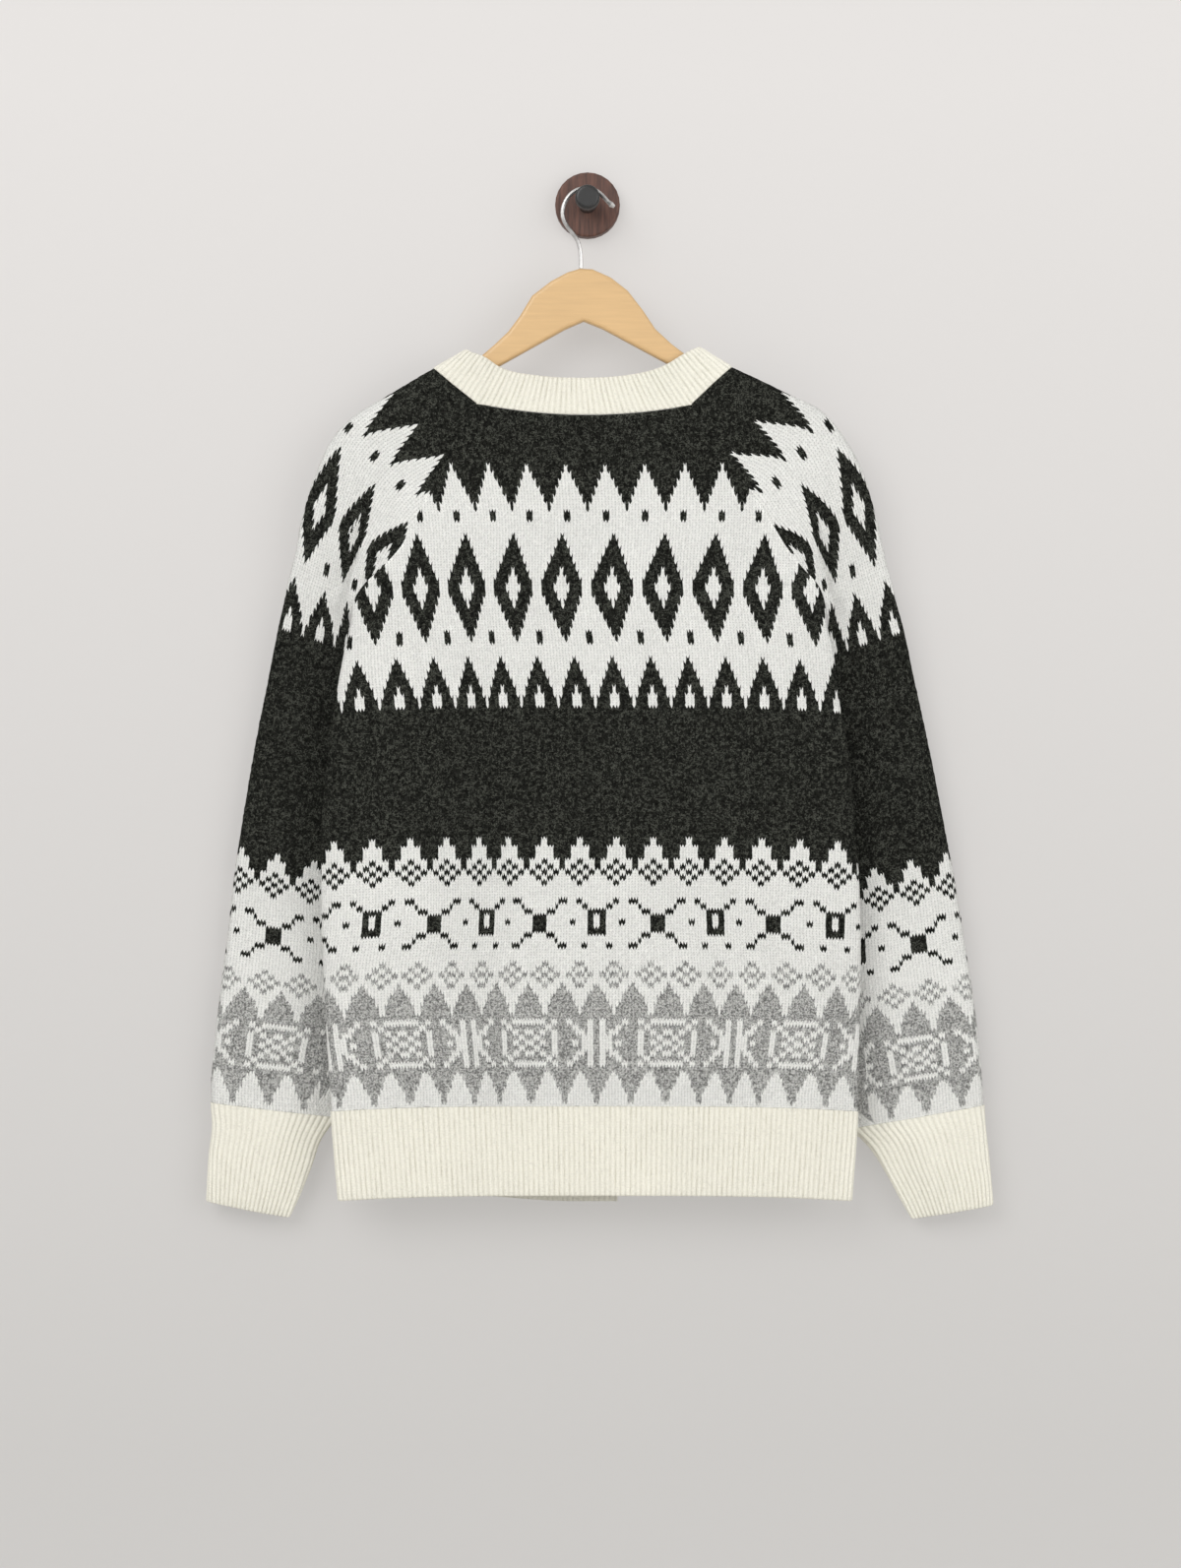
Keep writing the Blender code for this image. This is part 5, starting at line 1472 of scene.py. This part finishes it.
def deselect():
    for obj in bpy.context.selected_objects:
        obj.select_set(False)


def button_place(k):
    """Middle of the seat of one button."""
    z = BUTTON_TOP_Z + (BUTTON_BOTTOM_Z - BUTTON_TOP_Z) * k / (BUTTON_COUNT - 1)
    up = z - HEM_SEAM_Z
    seat = front_shift(body_point(up, angle_at(up, BAND_MIDDLE_X, True)), 1, up)[0]
    return Vector((seat[0], seat[1] + RIB_RISE + 4 * HALF_GAP, seat[2])) * MM


def cut_with(obj, cutter):
    """Cut one solid out of another."""
    modifier = obj.modifiers.new("cut", "BOOLEAN")
    modifier.object = cutter
    bpy.context.view_layer.objects.active = obj
    bpy.ops.object.modifier_apply(modifier=modifier.name)
    bpy.data.objects.remove(cutter)


def make_button(material):
    """One button that faces the wall, with a dished face and four holes."""
    deselect()
    thickness = BUTTON_THICKNESS * MM
    bpy.ops.mesh.primitive_cylinder_add(
        vertices=48, radius=BUTTON_RADIUS * MM, depth=thickness,
        location=(0, thickness / 2, 0), rotation=(-math.pi / 2, 0, 0))
    button = bpy.context.object
    bpy.ops.object.transform_apply(location=True, rotation=True, scale=True)
    bpy.ops.object.mode_set(mode="EDIT")
    bpy.ops.mesh.select_mode(type="FACE")
    solid = bmesh.from_edit_mesh(button.data)
    for face in solid.faces:
        face.select_set(face.normal.y > 0.9)
    bmesh.update_edit_mesh(button.data)
    bpy.ops.mesh.inset(thickness=0.0024)
    bpy.ops.mesh.inset(thickness=0.0008, depth=-0.0009)
    bpy.ops.object.mode_set(mode="OBJECT")
    bevel = button.modifiers.new("rim", "BEVEL")
    bevel.width = 0.0005
    bevel.segments = 3
    bpy.ops.object.modifier_apply(modifier=bevel.name)
    for x in (-1, 1):
        for z in (-1, 1):
            deselect()
            bpy.ops.mesh.primitive_cylinder_add(
                vertices=16, radius=0.0009, depth=0.01,
                location=(x * 0.0017, 0, z * 0.0017), rotation=(math.pi / 2, 0, 0))
            cut_with(button, bpy.context.object)
    deselect()
    button.select_set(True)
    bpy.context.view_layer.objects.active = button
    bpy.ops.object.shade_smooth_by_angle(angle=math.radians(35))
    button.data.materials.clear()
    button.data.materials.append(material)
    return button


# ---------------------------------------------------------------- stage

WALL_GLOW = 1.6             # painted light: the wall glows though it is no lamp, which keeps the shadows on it faint
WALL_Y = 0.0006             # just behind the peg, in metres, as are the sizes below
FLOOR_Z = -1.7
WALL_TOP = 3
ROOM_SIDE = 4
ROOM_FRONT = -6
LIGHT_TARGET = (0, -0.03, -0.42)

def pale_material(name, low, high, low_z, high_z, glow=0.0, one_sided=False):
    """A matt pale colour that changes with height and glows by glow. On the wall this is painted light:
    lighter towards the top, as the light falls, and glowing though the wall is no lamp.
    """
    material, tree, shader = new_material(name, 0.9)
    place = add_node(tree, "ShaderNodeTexCoord")
    split = add_node(tree, "ShaderNodeSeparateXYZ")
    join(tree, place, "Object", split, "Vector")
    height = stretched(tree, split, "Z", from_min=low_z, from_max=high_z)
    # Painted light on the wall: this colour is lighter towards the top, and it is also the colour of the
    # painted glow.
    paint = ramp(tree, height, "Result", [(0.0, low), (1.0, high)])
    join(tree, paint, "Color", shader, "Base Color")
    join(tree, paint, "Color", shader, "Emission Color")
    shader.inputs["Emission Strength"].default_value = glow
    if one_sided:
        facing = add_node(tree, "ShaderNodeNewGeometry")
        clear = add_node(tree, "ShaderNodeBsdfTransparent")
        choice = add_node(tree, "ShaderNodeMixShader")
        output = tree.nodes["Material Output"]
        join(tree, facing, "Backfacing", choice, "Fac")
        tree.links.new(shader.outputs[0], choice.inputs[1])
        tree.links.new(clear.outputs[0], choice.inputs[2])
        tree.links.new(choice.outputs[0], output.inputs["Surface"])
    return material


def plane(name, corners, material):
    mesh = bpy.data.meshes.new(name)
    mesh.from_pydata(corners, [], [range(4)])
    mesh.materials.append(material)
    obj = bpy.data.objects.new(name, mesh)
    bpy.context.scene.collection.objects.link(obj)
    obj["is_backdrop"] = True


def area_light(name, place, size, power):
    data = bpy.data.lights.new(name, "AREA")
    data.shape = "RECTANGLE"
    data.size, data.size_y = size
    data.energy = power
    lamp = bpy.data.objects.new(name, data)
    bpy.context.scene.collection.objects.link(lamp)
    lamp.location = place
    aim = Vector(LIGHT_TARGET) - Vector(place)
    lamp.rotation_euler = aim.to_track_quat("-Z", "Y").to_euler()
    lamp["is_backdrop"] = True


def make_stage():
    # The wall gets painted light: lighter towards the top, and a glow by WALL_GLOW though it is no lamp.
    wall = pale_material("wall_paint_and_painted_light", (0.214, 0.209, 0.203), (0.27, 0.262, 0.256), -1.0, 0.1,
                         WALL_GLOW, True)
    floor = pale_material("floor_paint", (0.74, 0.73, 0.71), (0.74, 0.73, 0.71), -2, 0)
    left, right = -ROOM_SIDE, ROOM_SIDE
    plane("wall", [(left, WALL_Y, FLOOR_Z), (right, WALL_Y, FLOOR_Z), (right, WALL_Y, WALL_TOP),
                   (left, WALL_Y, WALL_TOP)], wall)
    plane("floor", [(left, ROOM_FRONT, FLOOR_Z), (right, ROOM_FRONT, FLOOR_Z), (right, WALL_Y, FLOOR_Z),
                    (left, WALL_Y, FLOOR_Z)], floor)
    area_light("window", (-1.6, -3.4, 1.3), (2.6, 2.2), 78)
    area_light("fill", (2.2, -3.0, 0.1), (2.4, 2.4), 42)
    scene = bpy.context.scene
    world = scene.world or bpy.data.worlds.new("World")
    scene.world = world
    world.use_nodes = True
    background = world.node_tree.nodes["Background"]
    background.inputs["Color"].default_value = (1.0, 0.995, 0.985, 1)
    background.inputs["Strength"].default_value = 0.69
    data = bpy.data.cameras.new("photo_camera")
    data.sensor_fit = "AUTO"
    data.sensor_width = SENSOR
    data.lens = SENSOR * PHOTO_DISTANCE / PHOTO_HEIGHT
    data.clip_end = 50
    camera = bpy.data.objects.new("photo_camera", data)
    scene.collection.objects.link(camera)
    camera.location = CAMERA
    camera.rotation_euler = (math.pi / 2, 0, 0)
    scene.camera = camera
    scene.view_settings.view_transform = "Standard"


# ---------------------------------------------------------------- the add-on

def stand_in_for(obj, slot, *nodes):
    """Ride on the body and take the place of plain pieces."""
    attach(obj, "root")
    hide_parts(*nodes)


def sleeves_of():
    """Both sleeves' surfaces, by side."""
    return {-1: Sleeve(LEFT_TUBE, LEFT_CAP, -1), 1: Sleeve(RIGHT_TUBE, RIGHT_CAP, 1)}


SIDES = ((-1, "left"), (1, "right"))


def colour_setting(name, description, default):
    return bpy.props.FloatVectorProperty(
        name=name, description=description, subtype="COLOR", default=default, min=0, max=1)


class CardiganSettings(bpy.types.PropertyGroup):
    """Colours and sizes of the finished cardigan."""

    white_wool: colour_setting(
        "White wool", "Ground colour of the pattern", (0.83, 0.83, 0.80))
    grey_wool: colour_setting(
        "Grey wool", "Colour of the lowest band", (0.40, 0.40, 0.385))
    charcoal_wool: colour_setting(
        "Charcoal wool", "Darkest colour of the pattern", (0.0120, 0.0125, 0.0105))
    cream_wool: colour_setting(
        "Cream wool", "Colour of the ribs", (0.765, 0.745, 0.655))
    beech: colour_setting(
        "Beech", "Colour of the hanger", (0.72, 0.47, 0.22))
    walnut: colour_setting(
        "Walnut", "Colour of the peg's disc", (0.080, 0.034, 0.023))
    stitch_depth: bpy.props.FloatProperty(
        name="Stitch depth", description="How deep the yarn's relief is", subtype="DISTANCE",
        default=0.0007, min=0, max=0.002)


class CARDIGAN_OT_back(bpy.types.Operator):
    """Knit the back panel and its hem"""

    bl_idname = "cardigan.back"
    bl_label = "Back"

    def execute(self, context):
        back, area, width = make_back(knit_wool())
        stand_in_for(back, "knit", "back_panel")
        hem = make_hem("back_hem_rib", rib_wool())
        stand_in_for(hem, "rib", "back_hem")
        return {"FINISHED"}


class CARDIGAN_OT_fronts(bpy.types.Operator):
    """Knit both fronts, their hems and the two bands"""

    bl_idname = "cardigan.fronts"
    bl_label = "Fronts"

    def execute(self, context):
        for side, name in SIDES:
            front, area, width = make_front(side, f"{name}_front_knit", knit_wool())
            stand_in_for(front, "knit", f"{name}_front")
            hem = make_hem(f"{name}_front_hem_rib", rib_wool(), side)
            stand_in_for(hem, "rib", f"{name}_front_hem")
            node = "button_band" if side < 0 else "buttonhole_band"
            band = make_band(side, f"{node}_rib", rib_wool())
            stand_in_for(band, "rib", node)
        return {"FINISHED"}


class CARDIGAN_OT_sleeves(bpy.types.Operator):
    """Knit both sleeves and their cuffs"""

    bl_idname = "cardigan.sleeves"
    bl_label = "Sleeves"

    def execute(self, context):
        sleeves = sleeves_of()
        for side, name in SIDES:
            sleeve, area, width = make_sleeve(f"{name}_sleeve_knit", sleeves[side], knit_wool())
            stand_in_for(sleeve, "knit", f"{name}_sleeve")
            cuff = make_cuff(f"{name}_cuff_rib", sleeves[side], rib_wool())
            stand_in_for(cuff, "rib", f"{name}_cuff")
        return {"FINISHED"}


class CARDIGAN_OT_neckband(bpy.types.Operator):
    """Knit the ribbed neckband"""

    bl_idname = "cardigan.neckband"
    bl_label = "Neckband"

    def execute(self, context):
        band = make_neckband(sleeves_of(), rib_wool())
        stand_in_for(band, "rib", "neckband")
        return {"FINISHED"}


class CARDIGAN_OT_buttons(bpy.types.Operator):
    """Make the seven buttons of the hidden front"""

    bl_idname = "cardigan.buttons"
    bl_label = "Buttons"

    def execute(self, context):
        first = make_button(smooth_material("horn", (0.78, 0.74, 0.62), 0.3))
        for k in range(BUTTON_COUNT):
            button = first if k == BUTTON_COUNT - 1 else first.copy()
            if button is not first:
                button.data = first.data.copy()
                bpy.context.scene.collection.objects.link(button)
            button.name = f"button_{k + 1}_horn"
            button.data.transform(Matrix.Translation(button_place(k)))
            stand_in_for(button, "horn", f"button_{k + 1}")
        return {"FINISHED"}


class CARDIGAN_OT_hanger(bpy.types.Operator):
    """Finish the hanger, its hook and the wall peg"""

    bl_idname = "cardigan.hanger"
    bl_label = "Hanger and peg"

    def execute(self, context):
        settings = context.scene.cardigan
        dress("hanger", wood_material("beech", scaled(settings.beech, 0.74), scaled(settings.beech, 0.83),
                                      (0.06, 1, 1), 380, 0.42, 0.2))
        dress("hanger_hook", smooth_material("nickel", (0.50, 0.49, 0.48), 0.32, 1.0))
        dress("peg_disc", wood_material("walnut", scaled(settings.walnut, 0.45), scaled(settings.walnut, 1.7),
                                        (1, 1, 0.1), 420, 0.6, 0.03))
        dress("peg_knob", smooth_material("black_lacquer", (0.008, 0.008, 0.008), 0.38))
        return {"FINISHED"}


class CARDIGAN_OT_stage(bpy.types.Operator):
    """Set up the wall, the light and the camera"""

    bl_idname = "cardigan.stage"
    bl_label = "Stage"

    def execute(self, context):
        make_stage()
        return {"FINISHED"}


STEPS = (CARDIGAN_OT_hanger, CARDIGAN_OT_back, CARDIGAN_OT_fronts, CARDIGAN_OT_sleeves,
         CARDIGAN_OT_neckband, CARDIGAN_OT_buttons, CARDIGAN_OT_stage)


class CARDIGAN_PT_panel(bpy.types.Panel):
    """The cardigan's colours and the steps that make it"""

    bl_label = "Cardigan"
    bl_idname = "CARDIGAN_PT_panel"
    bl_space_type = "VIEW_3D"
    bl_region_type = "UI"
    bl_category = "Cardigan"

    def draw(self, context):
        for name in CardiganSettings.__annotations__:
            self.layout.prop(context.scene.cardigan, name)
        for step in STEPS:
            self.layout.operator(step.bl_idname)


CLASSES = (CardiganSettings, *STEPS, CARDIGAN_PT_panel)


def register():
    for cls in CLASSES:
        bpy.utils.register_class(cls)
    bpy.types.Scene.cardigan = bpy.props.PointerProperty(type=CardiganSettings)


def unregister():
    del bpy.types.Scene.cardigan
    for cls in reversed(CLASSES):
        bpy.utils.unregister_class(cls)


def corners():
    """The object's box as plain lists."""
    return [list(corner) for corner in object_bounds()]


def main():
    register()
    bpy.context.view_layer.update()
    for step in STEPS:
        group, name = step.bl_idname.split(".")
        getattr(getattr(bpy.ops, group), name)()


if __name__ == "__main__":
    main()
